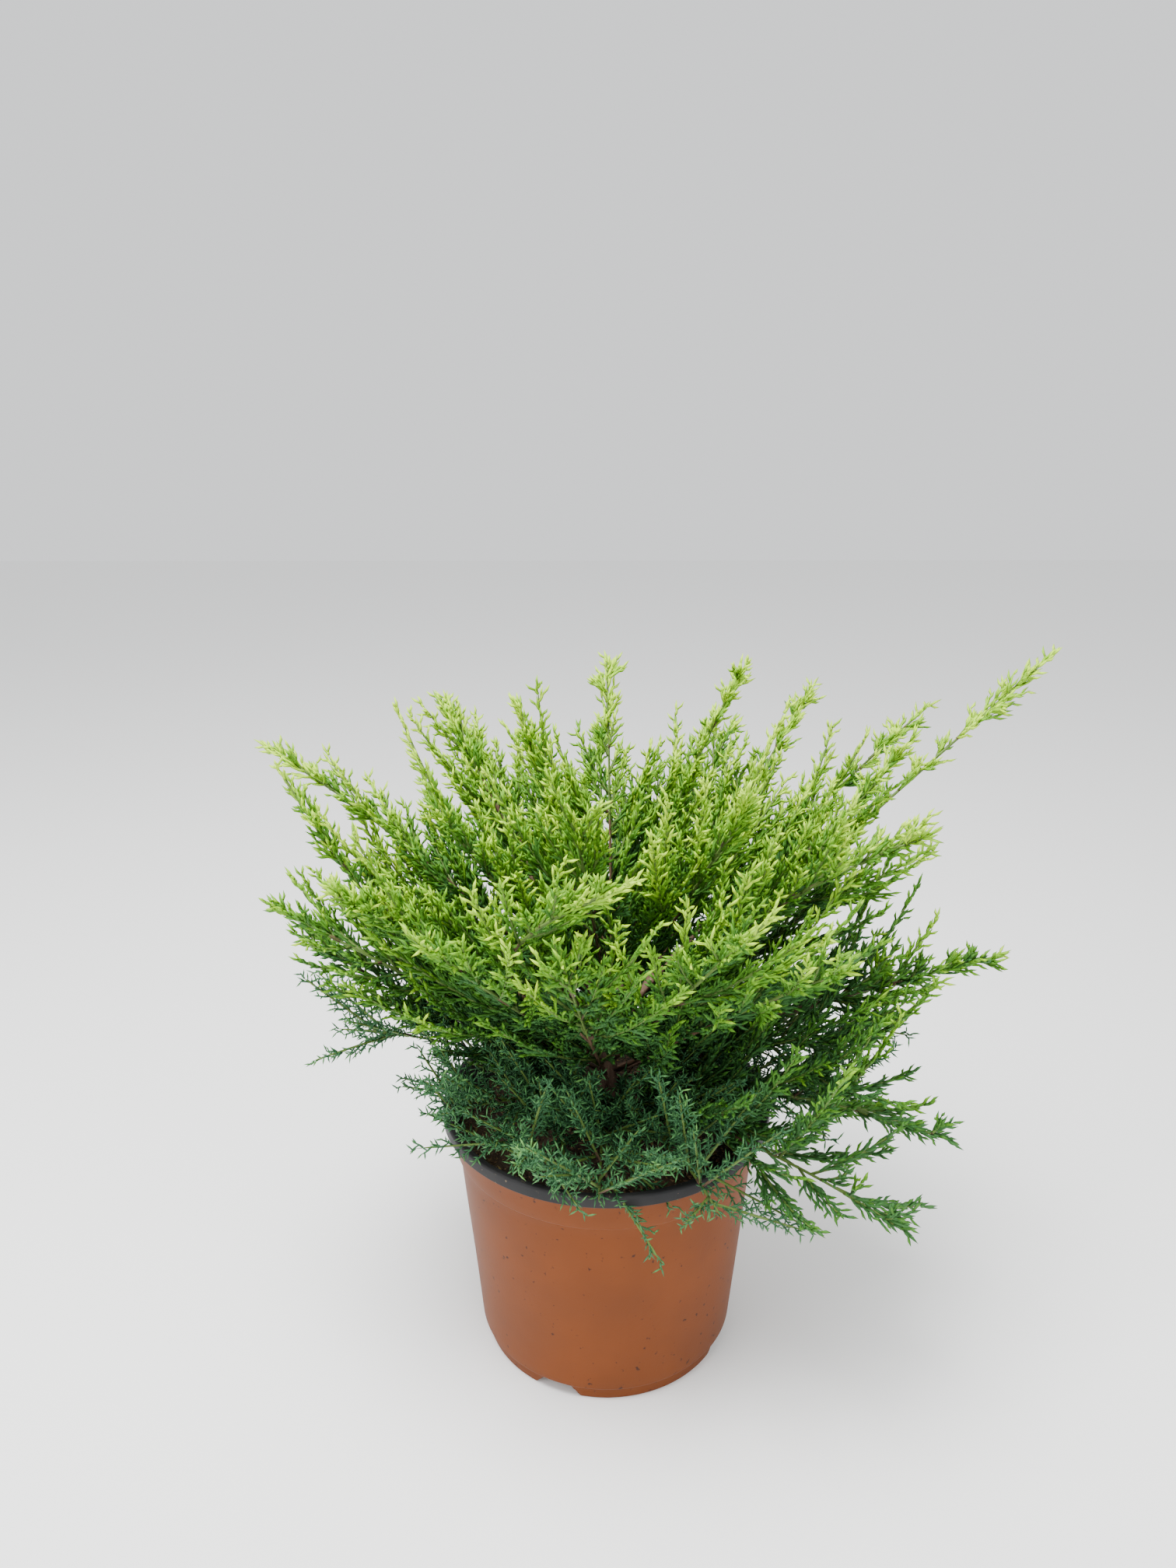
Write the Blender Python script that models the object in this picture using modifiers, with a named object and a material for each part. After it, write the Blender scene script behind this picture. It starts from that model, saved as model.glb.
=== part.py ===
"""Potted golden juniper: a low, spreading shrub with arching boughs, in a round nursery pot.

Metres, +Z up. The origin is the centre of the pot's underside, and the shrub's front faces -Y.
Azimuths are degrees counted from +X towards +Y, so -90 is the front and 180 the left.
"""
import math

import bmesh
import bpy
import numpy as np
from mathutils import Matrix, Vector

# Pot: a thin formed plastic pot of 19 cm, with a lip, a shoulder ring and four feet.
RIM_RADIUS = 0.095
POT_HEIGHT = 0.151
LIP_HEIGHT = 0.0067
LIP_WIDTH = 0.0042
SHOULDER_TOP_RADIUS = 0.0910
SHOULDER_FOOT_RADIUS = 0.0880
SHOULDER_HEIGHT = 0.126
BODY_TOP_RADIUS = 0.0860
BODY_FOOT_RADIUS = 0.0755
BODY_FOOT_HEIGHT = 0.008
FOOT_OUTER_RADIUS = 0.0732
FOOT_INNER_RADIUS = 0.0680
BASE_UNDERSIDE = 0.0070
CENTRE_PAD_RADIUS = 0.023
WALL = 0.0013
FLOOR_TOP = 0.0085
POT_SIDES = 28
FOOT_NOTCH_COUNT = 4
FIRST_NOTCH_AZIMUTH = -112.0
NOTCH_WIDTH_TOP = 0.016
NOTCH_WIDTH_FOOT = 0.028
DRAIN_HOLE_COUNT = 4
DRAIN_HOLE_RADIUS = 0.004
DRAIN_HOLE_CIRCLE = 0.045

# Soil: it fills the pot to below the lip, and is level under the trunk.
SOIL_TOP = 0.136
SOIL_EDGE_DROP = 0.004
SOIL_LEVEL_RADIUS = 0.018
SOIL_ROUGHNESS = 0.0022

# Clearances between pieces that meet.
FIT = 0.0003
SKIN = 0.0004

# Trunk: short, leaning a little to the right and back.
TRUNK_TOP = 0.219
TRUNK_LEAN = Vector((0.004, 0.002, 0.0))
TRUNK_FOOT_RADIUS = 0.0110
TRUNK_NECK_RADIUS = 0.0066
TRUNK_TIP_RADIUS = 0.0042
FLARE_HEIGHT = 0.010
TRUNK_POINTS = 9

# Limbs. A bough tapers from its root to where its foliage begins, and the stem goes on to the tip.
BOUGH_ROOT_RADIUS = 0.0023
BOUGH_END_RADIUS = 0.0016
BOUGH_POINTS = 5
STEM_ROOT_RADIUS = 0.0014
STEM_TIP_RADIUS = 0.0006
STEM_POINTS = 7
STEM_SHARE = 0.93
TERMINAL_SHARE = 0.89

# Side shoots. Each is a leafy plume, with smaller plumes to its sides that stand for its sprays.
PLUME_WIDEST = 0.30
CROSSING = 0.0070

# The dense part of the crown is a dome with a flattened top. Shoots are long inside it, and short and slim where a limb
# reaches out of it. The first row is the distance from its centre, where 1 is on the dome.
DOME_CENTRE = Vector((0.004, 0.0, 0.200))
DOME_RADII = Vector((0.158, 0.146, 0.146))
DOME_POWER = 3.0
SHORT_SHOOT = 0.034
FULLNESS = ((0.0, 0.25, 0.55, 0.80, 1.05, 1.35), (0.70, 0.85, 1.00, 0.90, 0.34, 0.20))
SCALE = {
    "shoot": 0.098, "forward": 0.72, "sideways": 0.54, "upward": 0.42, "lift": 0.26, "spray": 0.052,
    "width": 0.0175, "thick": 0.0080, "angle": 32.0, "places": (0.10, 0.34),
}
NEEDLE = {
    "shoot": 0.064, "forward": 0.72, "sideways": 0.70, "upward": 0.10, "lift": -0.06, "spray": 0.034,
    "width": 0.0150, "thick": 0.0064, "angle": 40.0, "places": (0.12, 0.36),
}
SEED = 19


def limb(name, azimuth, reach, top, root, bow=0.0, swerve=0.0, bare=0.0, shoots=5, kind=SCALE):
    """One limb: its direction, how far its tip reaches out and up, and where it leaves the trunk.

    bow lifts the middle of its curve and swerve moves it sideways, as shares of its length.
    bare is the share that is a bough; a limb with none is a thin stem from the trunk.
    """
    return {
        "name": name, "azimuth": azimuth, "reach": reach, "top": top, "root": root, "bow": bow,
        "swerve": swerve, "bare": bare, "shoots": shoots, "kind": kind,
    }


LIMBS = [
    # High boughs, which make the right side and the long tips over it.
    limb("right_long", 6, 0.241, 0.407, 0.188, bare=0.26, shoots=7),
    limb("right_high", 22, 0.205, 0.366, 0.200, bow=0.05, bare=0.24, shoots=6),
    limb("right_near", -4, 0.160, 0.372, 0.180, bow=-0.04, bare=0.24),
    limb("right_back", 40, 0.165, 0.372, 0.186, bow=0.02, bare=0.24),
    limb("right_droop", -28, 0.172, 0.342, 0.194, bow=0.12, bare=0.22),
    # The top.
    limb("top_nodding", 18, 0.080, 0.402, 0.207, bow=0.02, swerve=0.17, bare=0.20),
    limb("top_upright", 90, 0.062, 0.397, 0.2155, bow=-0.02),
    limb("top_middle", 186, 0.046, 0.385, 0.2125, swerve=-0.10),
    limb("top_left", 148, 0.114, 0.373, 0.204, bare=0.50, shoots=6),
    # The left side.
    limb("left_arch", 178, 0.184, 0.360, 0.194, bow=0.10, bare=0.24, shoots=6),
    limb("left_sweep", -168, 0.170, 0.361, 0.182, bow=-0.34, bare=0.30),
    limb("left_low", -164, 0.180, 0.293, 0.169, bow=-0.02),
    limb("left_under", -176, 0.172, 0.259, 0.160, bow=-0.05),
    # The right side, low down: one bare bough, and the sprawling shoots under it.
    limb("right_bare", -2, 0.219, 0.245, 0.168, bow=0.03, bare=0.50),
    limb("right_fan", -12, 0.155, 0.208, 0.162, bow=0.08),
    limb("right_sprawl", -20, 0.193, 0.166, 0.155, bow=0.14),
    limb("right_hang", -36, 0.186, 0.142, 0.151, bow=0.11),
    # The front.
    limb("front_arch", -85, 0.151, 0.347, 0.199, swerve=-0.52, bare=0.30),
    limb("front_bare", -142, 0.162, 0.320, 0.187, bow=0.02, bare=0.60, shoots=6),
    limb("front_left", -124, 0.148, 0.305, 0.175, bow=-0.02),
    limb("front_mid", -98, 0.140, 0.305, 0.168, bow=-0.05),
    limb("front_right", -66, 0.150, 0.315, 0.176, shoots=6),
    limb("front_side", -45, 0.160, 0.290, 0.169, bow=0.02),
    # The back.
    limb("back_right", 60, 0.165, 0.340, 0.197, bow=0.04, bare=0.22),
    limb("back_mid", 92, 0.165, 0.335, 0.188, bow=0.04),
    limb("back_left", 124, 0.168, 0.335, 0.195, bow=0.04, bare=0.22),
    # Short limbs that fill the crown between the long ones.
    limb("inner_left", 179, 0.118, 0.278, 0.176),
    limb("inner_left_front", -150, 0.100, 0.345, 0.206),
    limb("inner_front", -104, 0.066, 0.345, 0.210),
    limb("inner_right_front", -40, 0.092, 0.352, 0.209),
    limb("inner_right", 8, 0.138, 0.275, 0.176),
    limb("inner_back_right", 78, 0.115, 0.270, 0.170),
    limb("inner_back_left", 112, 0.115, 0.265, 0.178),
    # The skirt of young, needle-like foliage over the soil and the rim.
    limb("skirt_left", -172, 0.138, 0.203, 0.151, bow=0.10, kind=NEEDLE),
    limb("skirt_rim", -148, 0.104, 0.172, 0.148, bow=0.12, kind=NEEDLE),
    limb("skirt_front", -122, 0.092, 0.156, 0.146, bow=0.20, kind=NEEDLE),
    limb("skirt_mid", -92, 0.100, 0.152, 0.147, bow=0.20, kind=NEEDLE),
    limb("skirt_over", -60, 0.116, 0.145, 0.146, bow=0.22, kind=NEEDLE),
    limb("skirt_right", -6, 0.138, 0.158, 0.148, bow=0.16, kind=NEEDLE),
    limb("skirt_side", 19, 0.145, 0.178, 0.151, bow=0.12, kind=NEEDLE),
    limb("skirt_back_right", 48, 0.150, 0.190, 0.151, bow=0.12, kind=NEEDLE),
    limb("skirt_back", 95, 0.145, 0.180, 0.149, bow=0.12, kind=NEEDLE),
    limb("skirt_back_left", 143, 0.150, 0.195, 0.151, bow=0.12, kind=NEEDLE),
]


def clear_scene():
    for obj in list(bpy.data.objects):
        bpy.data.objects.remove(obj, do_unlink=True)


def new_collection(name, hidden=False):
    collection = bpy.data.collections.new(name)
    collection.hide_render = hidden
    bpy.context.scene.collection.children.link(collection)
    return collection


def material(name, colour, roughness):
    made = bpy.data.materials.new(name)
    made.use_nodes = True
    shader = made.node_tree.nodes["Principled BSDF"]
    shader.inputs["Base Color"].default_value = (*colour, 1.0)
    shader.inputs["Roughness"].default_value = roughness
    shader.inputs["Metallic"].default_value = 0.0
    made.diffuse_color = (*colour, 1.0)
    return made


def mesh_object(name, bm, collection, look=None):
    mesh = bpy.data.meshes.new(name)
    bm.to_mesh(mesh)
    bm.free()
    obj = bpy.data.objects.new(name, mesh)
    collection.objects.link(obj)
    if look:
        mesh.materials.append(look)
    return obj


def tube(name, points, radii, collection, look=None, resolution=1, section=None):
    """A tapered tube through the points: a poly curve with a round bevel, or with a section's outline."""
    curve = bpy.data.curves.new(name, "CURVE")
    curve.dimensions = "3D"
    curve.use_fill_caps = True
    curve.bevel_depth = 1.0
    curve.bevel_resolution = resolution
    if section:
        curve.bevel_mode = "OBJECT"
        curve.bevel_object = section
    spline = curve.splines.new("POLY")
    spline.points.add(len(points) - 1)
    for spot, place, radius in zip(spline.points, points, radii):
        spot.co = (*place, 1.0)
        spot.radius = radius
    if look:
        curve.materials.append(look)
    obj = bpy.data.objects.new(name, curve)
    collection.objects.link(obj)
    return obj


def as_meshes(curves, collection):
    """Each curve made a mesh, with its caps welded on and its faces out. The curves are removed."""
    bpy.context.view_layer.update()
    graph = bpy.context.evaluated_depsgraph_get()
    made = []
    for curve in curves:
        mesh = bpy.data.meshes.new_from_object(curve.evaluated_get(graph))
        bm = bmesh.new()
        bm.from_mesh(mesh)
        bmesh.ops.remove_doubles(bm, verts=bm.verts, dist=1e-6)
        bmesh.ops.recalc_face_normals(bm, faces=bm.faces)
        bm.to_mesh(mesh)
        bm.free()
        mesh.transform(curve.matrix_world)
        made.append((curve.name, mesh))
    for curve in curves:
        bpy.data.objects.remove(curve, do_unlink=True)
    objects = [bpy.data.objects.new(name, mesh) for name, mesh in made]
    for obj in objects:
        collection.objects.link(obj)
    return objects


def lathe(name, profile, sides, collection, look):
    """A turned solid: the profile runs from the axis up the inside, over, and down the outside to the axis."""
    mesh = bpy.data.meshes.new(name)
    ends = [(i, i + 1) for i in range(len(profile) - 1)]
    mesh.from_pydata([(radius, 0.0, height) for radius, height in profile], ends, [])
    mesh.materials.append(look)
    obj = bpy.data.objects.new(name, mesh)
    collection.objects.link(obj)
    screw = obj.modifiers.new("turn", "SCREW")
    screw.steps = sides
    screw.render_steps = sides
    screw.use_merge_vertices = True
    screw.merge_threshold = 0.00005
    screw.use_smooth_shade = True
    return obj


def wall_radius(height):
    """The pot's outer radius at a height, on the body or on the shoulder above it."""
    if height <= SHOULDER_HEIGHT:
        share = (height - BODY_FOOT_HEIGHT) / (SHOULDER_HEIGHT - BODY_FOOT_HEIGHT)
        return BODY_FOOT_RADIUS + (BODY_TOP_RADIUS - BODY_FOOT_RADIUS) * share
    share = (height - SHOULDER_HEIGHT) / (POT_HEIGHT - LIP_HEIGHT - SHOULDER_HEIGHT)
    return SHOULDER_FOOT_RADIUS + (SHOULDER_TOP_RADIUS - SHOULDER_FOOT_RADIUS) * share


def inner_radius(height):
    """The pot's inner radius at a height, between the corners of its inside profile."""
    lip_foot = POT_HEIGHT - LIP_HEIGHT
    corners = [
        (FLOOR_TOP + 0.004, BODY_FOOT_RADIUS - WALL),
        (SHOULDER_HEIGHT, BODY_TOP_RADIUS - WALL),
        (lip_foot, SHOULDER_TOP_RADIUS - WALL - 0.0006),
    ]
    return float(np.interp(height, *zip(*corners)))


def pot_profile():
    lip_foot = POT_HEIGHT - LIP_HEIGHT
    inner_rim = RIM_RADIUS - LIP_WIDTH
    step = 0.0012
    inside = [
        (0.0, FLOOR_TOP),
        (FOOT_INNER_RADIUS + 0.002, FLOOR_TOP),
        (BODY_FOOT_RADIUS - WALL, FLOOR_TOP + 0.004),
        (BODY_TOP_RADIUS - WALL, SHOULDER_HEIGHT),
        (SHOULDER_TOP_RADIUS - WALL - 0.0006, lip_foot),
        (inner_rim, POT_HEIGHT),
    ]
    outside = [
        (RIM_RADIUS - 0.0012, POT_HEIGHT),
        (RIM_RADIUS - 0.0003, POT_HEIGHT - 0.0009),
        (RIM_RADIUS, lip_foot + 0.0005),
        (RIM_RADIUS - 0.0004, lip_foot),
        (SHOULDER_TOP_RADIUS, lip_foot),
        (SHOULDER_FOOT_RADIUS, SHOULDER_HEIGHT),
        (BODY_TOP_RADIUS, SHOULDER_HEIGHT - step),
        (BODY_FOOT_RADIUS, BODY_FOOT_HEIGHT + step),
        (BODY_FOOT_RADIUS - step, BODY_FOOT_HEIGHT),
        (FOOT_OUTER_RADIUS, BODY_FOOT_HEIGHT - 0.0003),
        (FOOT_OUTER_RADIUS - 0.0008, 0.0),
        (FOOT_INNER_RADIUS, 0.0),
        (FOOT_INNER_RADIUS - 0.0012, BASE_UNDERSIDE),
        (CENTRE_PAD_RADIUS + 0.002, BASE_UNDERSIDE),
        (CENTRE_PAD_RADIUS, 0.0),
        (0.0, 0.0),
    ]
    return inside + outside


def foot_notch(azimuth, cutters):
    """A block, wider at its foot, that parts two of the pot's feet."""
    bm = bmesh.new()
    bmesh.ops.create_cube(bm, size=1.0)
    for corner in bm.verts:
        width = NOTCH_WIDTH_TOP if corner.co.z > 0 else NOTCH_WIDTH_FOOT
        corner.co.x *= 0.016
        corner.co.y *= width
        corner.co.z *= 2 * (BASE_UNDERSIDE - 0.0002)
    turn = Matrix.Rotation(math.radians(azimuth), 4, "Z")
    middle = (FOOT_INNER_RADIUS + BODY_FOOT_RADIUS) / 2
    bm.transform(turn @ Matrix.Translation((middle, 0.0, 0.0)))
    return mesh_object("notch", bm, cutters)


def drain_hole(azimuth, cutters):
    bm = bmesh.new()
    bmesh.ops.create_cone(
        bm, cap_ends=True, segments=10, radius1=DRAIN_HOLE_RADIUS, radius2=DRAIN_HOLE_RADIUS, depth=0.02
    )
    angle = math.radians(azimuth)
    place = (DRAIN_HOLE_CIRCLE * math.cos(angle), DRAIN_HOLE_CIRCLE * math.sin(angle), FLOOR_TOP)
    bm.transform(Matrix.Translation(place))
    return mesh_object("drain", bm, cutters)


def make_pot(part, cutters, look):
    pot = lathe("pot", pot_profile(), POT_SIDES, part, look)
    for number in range(FOOT_NOTCH_COUNT):
        foot_notch(FIRST_NOTCH_AZIMUTH + number * 360.0 / FOOT_NOTCH_COUNT, cutters)
    for number in range(DRAIN_HOLE_COUNT):
        drain_hole(FIRST_NOTCH_AZIMUTH + (number + 0.5) * 360.0 / DRAIN_HOLE_COUNT, cutters)
    cut = pot.modifiers.new("feet and drains", "BOOLEAN")
    cut.operand_type = "COLLECTION"
    cut.collection = cutters
    cut.operation = "DIFFERENCE"
    cut.solver = "EXACT"
    return pot


def make_soil(part, look):
    """The soil's body, turned, with an uneven top that is level where the trunk stands."""
    edge_height = SOIL_TOP - SOIL_EDGE_DROP
    edge = inner_radius(edge_height) - FIT
    floor = FLOOR_TOP + FIT
    rings = 4
    top = []
    for number in range(rings + 1):
        share = number / rings
        radius = SOIL_LEVEL_RADIUS + (edge - SOIL_LEVEL_RADIUS) * share
        top.append((radius, SOIL_TOP - SOIL_EDGE_DROP * share**3))
    side = [
        (inner_radius(SHOULDER_HEIGHT) - FIT, SHOULDER_HEIGHT),
        (BODY_FOOT_RADIUS - WALL - FIT, FLOOR_TOP + 0.0042),
        (FOOT_INNER_RADIUS + 0.0015, floor),
        (0.0, floor),
    ]
    soil = lathe("soil", [(0.0, SOIL_TOP)] + top + side, POT_SIDES, part, look)
    bpy.context.view_layer.update()
    graph = bpy.context.evaluated_depsgraph_get()
    mesh = bpy.data.meshes.new_from_object(soil.evaluated_get(graph))
    random = np.random.default_rng(SEED)
    for spot in mesh.vertices:
        radius = math.hypot(spot.co.x, spot.co.y)
        rough = random.uniform(-1.0, 0.4) * SOIL_ROUGHNESS
        if spot.co.z > SHOULDER_HEIGHT + 0.002 and SOIL_LEVEL_RADIUS + 0.001 < radius < edge - 0.001:
            spot.co.z += rough
    soil.modifiers.clear()
    soil.data = mesh
    return soil


def trunk_radius(height):
    """The trunk's radius: a root flare at the soil, then an even taper."""
    over = max(height - SOIL_TOP, 0.0)
    flare = math.exp(-over / (FLARE_HEIGHT * 0.45))
    taper = min(over / (TRUNK_TOP - SOIL_TOP), 1.0)
    plain = TRUNK_NECK_RADIUS + (TRUNK_TIP_RADIUS - TRUNK_NECK_RADIUS) * taper
    return plain + (TRUNK_FOOT_RADIUS - TRUNK_NECK_RADIUS) * flare


def trunk_centre(height):
    share = (height - SOIL_TOP) / (TRUNK_TOP - SOIL_TOP)
    return TRUNK_LEAN * (share * share) + Vector((0.0, 0.0, height))


def make_trunk(part, look):
    """The trunk's points are closer together in its flare. Its foot is cut flat just over the soil."""
    foot = SOIL_TOP + FIT
    shares = [(i / (TRUNK_POINTS - 1)) ** 1.5 for i in range(TRUNK_POINTS)]
    heights = [foot + (TRUNK_TOP - foot) * share for share in shares]
    points = [trunk_centre(height) for height in heights]
    points[0] = Vector((0.0, 0.0, foot))
    radii = [trunk_radius(height) for height in heights]
    return tube("trunk", points, radii, part, look, resolution=3)


def limb_curve(spec):
    """The three points of a limb's quadratic curve: root on the trunk's bark, bend, and tip."""
    angle = math.radians(spec["azimuth"])
    out = Vector((math.cos(angle), math.sin(angle), 0.0))
    side = Vector((-math.sin(angle), math.cos(angle), 0.0))
    up = Vector((0.0, 0.0, 1.0))
    tip = out * spec["reach"] + up * spec["top"]
    radius = BOUGH_ROOT_RADIUS if spec["bare"] else STEM_ROOT_RADIUS
    centre = trunk_centre(spec["root"])
    root = centre + out * trunk_radius(spec["root"])
    chord = tip - root
    bend = (root + tip) / 2 + (up * spec["bow"] + side * spec["swerve"]) * chord.length
    leaving = (bend - root).normalized()
    flat = Vector((leaving.x, leaving.y, 0.0))
    steep = leaving.z
    root = centre + flat.normalized() * (trunk_radius(spec["root"]) + FIT + radius * abs(steep))
    return root, bend, tip


def along(curve, share):
    root, bend, tip = curve
    return root * (1 - share) ** 2 + bend * (2 * share * (1 - share)) + tip * share ** 2


def heading(curve, share):
    root, bend, tip = curve
    return ((bend - root) * (1 - share) + (tip - bend) * share).normalized()


def curve_length(curve, count=24):
    spots = [along(curve, i / count) for i in range(count + 1)]
    return sum((b - a).length for a, b in zip(spots, spots[1:]))


def make_bough(spec, part, look):
    curve = limb_curve(spec)
    shares = [spec["bare"] * i / (BOUGH_POINTS - 1) for i in range(BOUGH_POINTS)]
    points = [along(curve, share) for share in shares]
    fall = (BOUGH_END_RADIUS - BOUGH_ROOT_RADIUS) / spec["bare"]
    radii = [BOUGH_ROOT_RADIUS + fall * share for share in shares]
    return tube("bough_" + spec["name"], points, radii, part, look)


class Space:
    """The room of each limb's foliage: the points nearer to its own curve than to any other limb."""

    def __init__(self, limbs, samples=48):
        shares = [i / samples for i in range(samples + 1)]
        self.names = [spec["name"] for spec in limbs]
        self.curves = np.array([[along(limb_curve(spec), u) for u in shares] for spec in limbs])
        bark = []
        for spec, spots in zip(limbs, self.curves):
            bark.extend(spot for spot, u in zip(spots, shares) if u < spec["bare"] + 0.02)
        self.bark = np.array(bark)
        self.plumes = {name: [] for name in self.names}

    def crosses(self, name, course, parent):
        """True if a plume's course runs into another plume of its own mass, away from where it roots."""
        course = np.array([tuple(p) for p in course])
        others = [spots for number, spots in enumerate(self.plumes[name]) if number != parent]
        if not others:
            return False
        others = np.concatenate(others)
        return bool(np.linalg.norm(course[:, None] - others[None], axis=2).min() < CROSSING)

    def holds(self, name, points):
        """True if each point is in the limb's own room, and clear of bark, pot and soil."""
        points = np.array([tuple(p) for p in points])
        away = np.linalg.norm(points[:, None, None] - self.curves[None], axis=3).min(axis=2)
        own = self.names.index(name)
        others = np.delete(away, own, axis=1).min(axis=1)
        if (others - away[:, own] < SKIN * 2).any():
            return False
        near_bark = np.linalg.norm(points[:, None] - self.bark[None], axis=2).min(axis=1)
        if (near_bark < BOUGH_ROOT_RADIUS + SKIN * 2).any():
            return False
        wide = np.hypot(points[:, 0], points[:, 1])
        low = points[:, 2]
        trunk = (wide < 0.015) & (low < TRUNK_TOP + 0.003)
        in_soil = (wide < RIM_RADIUS) & (low < SOIL_TOP + 0.002)
        at_rim = (wide > RIM_RADIUS - LIP_WIDTH - 0.002) & (wide < RIM_RADIUS + 0.002)
        on_pot = at_rim & (low < POT_HEIGHT + 0.001)
        return not (trunk | in_soil | on_pot | (low < 0.105)).any()


def plume_corners(start, knee, end, normal, width, thick):
    """The three corners round a plume's knee."""
    forward = (end - start).normalized()
    across = normal.cross(forward).normalized()
    over = forward.cross(across)
    corners = []
    for number in range(3):
        angle = math.radians(90 + 120 * number)
        corners.append(
            knee + across * (math.cos(angle) * width / 1.73) + over * (math.sin(angle) * thick / 1.5)
        )
    return corners


def plume(start, knee, end, corners, collection):
    """A slim spindle with three edges, bent at its knee, where it is widest."""
    bm = bmesh.new()
    bmesh.ops.create_uvsphere(bm, u_segments=3, v_segments=2, radius=1.0)
    ring = [spot for spot in bm.verts if abs(spot.co.z) < 0.5]
    ring.sort(key=lambda spot: math.atan2(spot.co.y, spot.co.x))
    for spot in bm.verts:
        if spot not in ring:
            spot.co = end if spot.co.z > 0 else start
    for spot, corner in zip(ring, corners):
        spot.co = corner
    bm.normal_update()
    bmesh.ops.recalc_face_normals(bm, faces=bm.faces)
    return mesh_object("plume", bm, collection)


def grow_plume(spec, space, root, way, long, width, twigs, parent=None):
    """A plume from the axis that carries it, if it keeps to the limb's room and clear of other plumes.

    It returns the plume's knee, its end and its number in the mass.
    """
    kind = spec["kind"]
    up = Vector((0.0, 0.0, 1.0))
    knee = root + way * (long * PLUME_WIDEST)
    end = knee + (way + up * kind["lift"]).normalized() * (long * (1 - PLUME_WIDEST))
    plane = way.cross(up).normalized()
    thick = kind["thick"] * width / kind["width"]
    corners = plume_corners(root, knee, end, plane.cross(way), width, thick)
    spots = [end]
    for corner in corners:
        spots += [corner, corner.lerp(root, 0.5), corner.lerp(end, 0.33), corner.lerp(end, 0.67)]
    course = [root.lerp(knee, share) for share in (0.0, 0.3, 0.6, 0.9)]
    course += [knee.lerp(end, share) for share in (0.15, 0.4, 0.65, 0.9)]
    if dome_share(end) > 1.04 and long > SHORT_SHOOT:
        return None
    if not space.holds(spec["name"], spots) or space.crosses(spec["name"], course[2:], parent):
        return None
    plume(root, knee, end, corners, twigs)
    grown = space.plumes[spec["name"]]
    grown.append(np.array([tuple(p) for p in course]))
    return knee, end, len(grown) - 1


def dome_share(place):
    """How far out a place is, from 0 in the middle of the crown's dome to 1 on it."""
    over = place - DOME_CENTRE
    level = math.hypot(over.x / DOME_RADII.x, over.y / DOME_RADII.y)
    return (level**DOME_POWER + abs(over.z / DOME_RADII.z) ** DOME_POWER) ** (1 / DOME_POWER)


def grow_shoot(spec, space, share, side, random, twigs):
    """A side shoot's own plume and the ones to its sides, made narrower or shorter until it fits.

    It returns how many plumes it grew.
    """
    kind = spec["kind"]
    up = Vector((0.0, 0.0, 1.0))
    curve = limb_curve(spec)
    root = along(curve, share)
    forward = heading(curve, share)
    lateral = forward.cross(up).normalized() * side
    rise = kind["upward"] * (1.7 - 1.5 * max(forward.z, 0.0)) * random.uniform(0.5, 1.5)
    apart = kind["sideways"] * random.uniform(0.8, 1.2)
    outward = dome_share(root)
    full = float(np.interp(outward, *FULLNESS)) * random.uniform(0.88, 1.12)
    own = None
    for shrink in (1.0, 0.8, 0.64, 0.51, 0.41, 0.33):
        for narrow in (1.0, 0.6, 0.3):
            way = forward * kind["forward"] + lateral * (apart * narrow) + up * (rise * narrow)
            long = kind["shoot"] * full * shrink
            width = kind["width"] * min(1.0, 0.16 + 0.90 * full * shrink)
            own = own or grow_plume(spec, space, root, way.normalized(), long, width, twigs)
            if own:
                break
        if own:
            break
    if not own:
        return 0
    knee, end, parent = own
    grown = 1
    onward = (end - knee).normalized()
    plane = onward.cross(up).normalized()
    side_plumes = 2 if outward < 0.95 else 1 if outward < 1.15 else 0
    for number, place in enumerate(kind["places"][:side_plumes]):
        angle = math.radians(kind["angle"]) * (1 if number % 2 else -1) * side
        for shrink in (1.0, 0.7, 0.5):
            turned = onward * math.cos(angle) + plane * math.sin(angle)
            spray = kind["spray"] * (long / kind["shoot"]) ** 0.7 * (1.1 - 0.5 * place) * shrink
            wide = width * 0.8 * shrink
            if grow_plume(spec, space, knee.lerp(end, place), turned, spray, wide, twigs, parent):
                grown += 1
                break
    return grown


def keep_outer_shell(mesh):
    """Removes every shell but the largest: a pocket closed in by crossing leaves, or a loose crumb."""
    bm = bmesh.new()
    bm.from_mesh(mesh)
    left = set(bm.faces)
    shells = []
    while left:
        shell = {left.pop()}
        edge_of_shell = set(shell)
        while edge_of_shell:
            near = {other for face in edge_of_shell for edge in face.edges for other in edge.link_faces}
            edge_of_shell = near - shell
            shell |= edge_of_shell
        left -= shell
        shells.append(shell)
    shells.sort(key=len)
    for shell in shells[:-1]:
        bmesh.ops.delete(bm, geom=list(shell), context="FACES")
    bm.to_mesh(mesh)
    bm.free()
    return len(shells)


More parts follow.
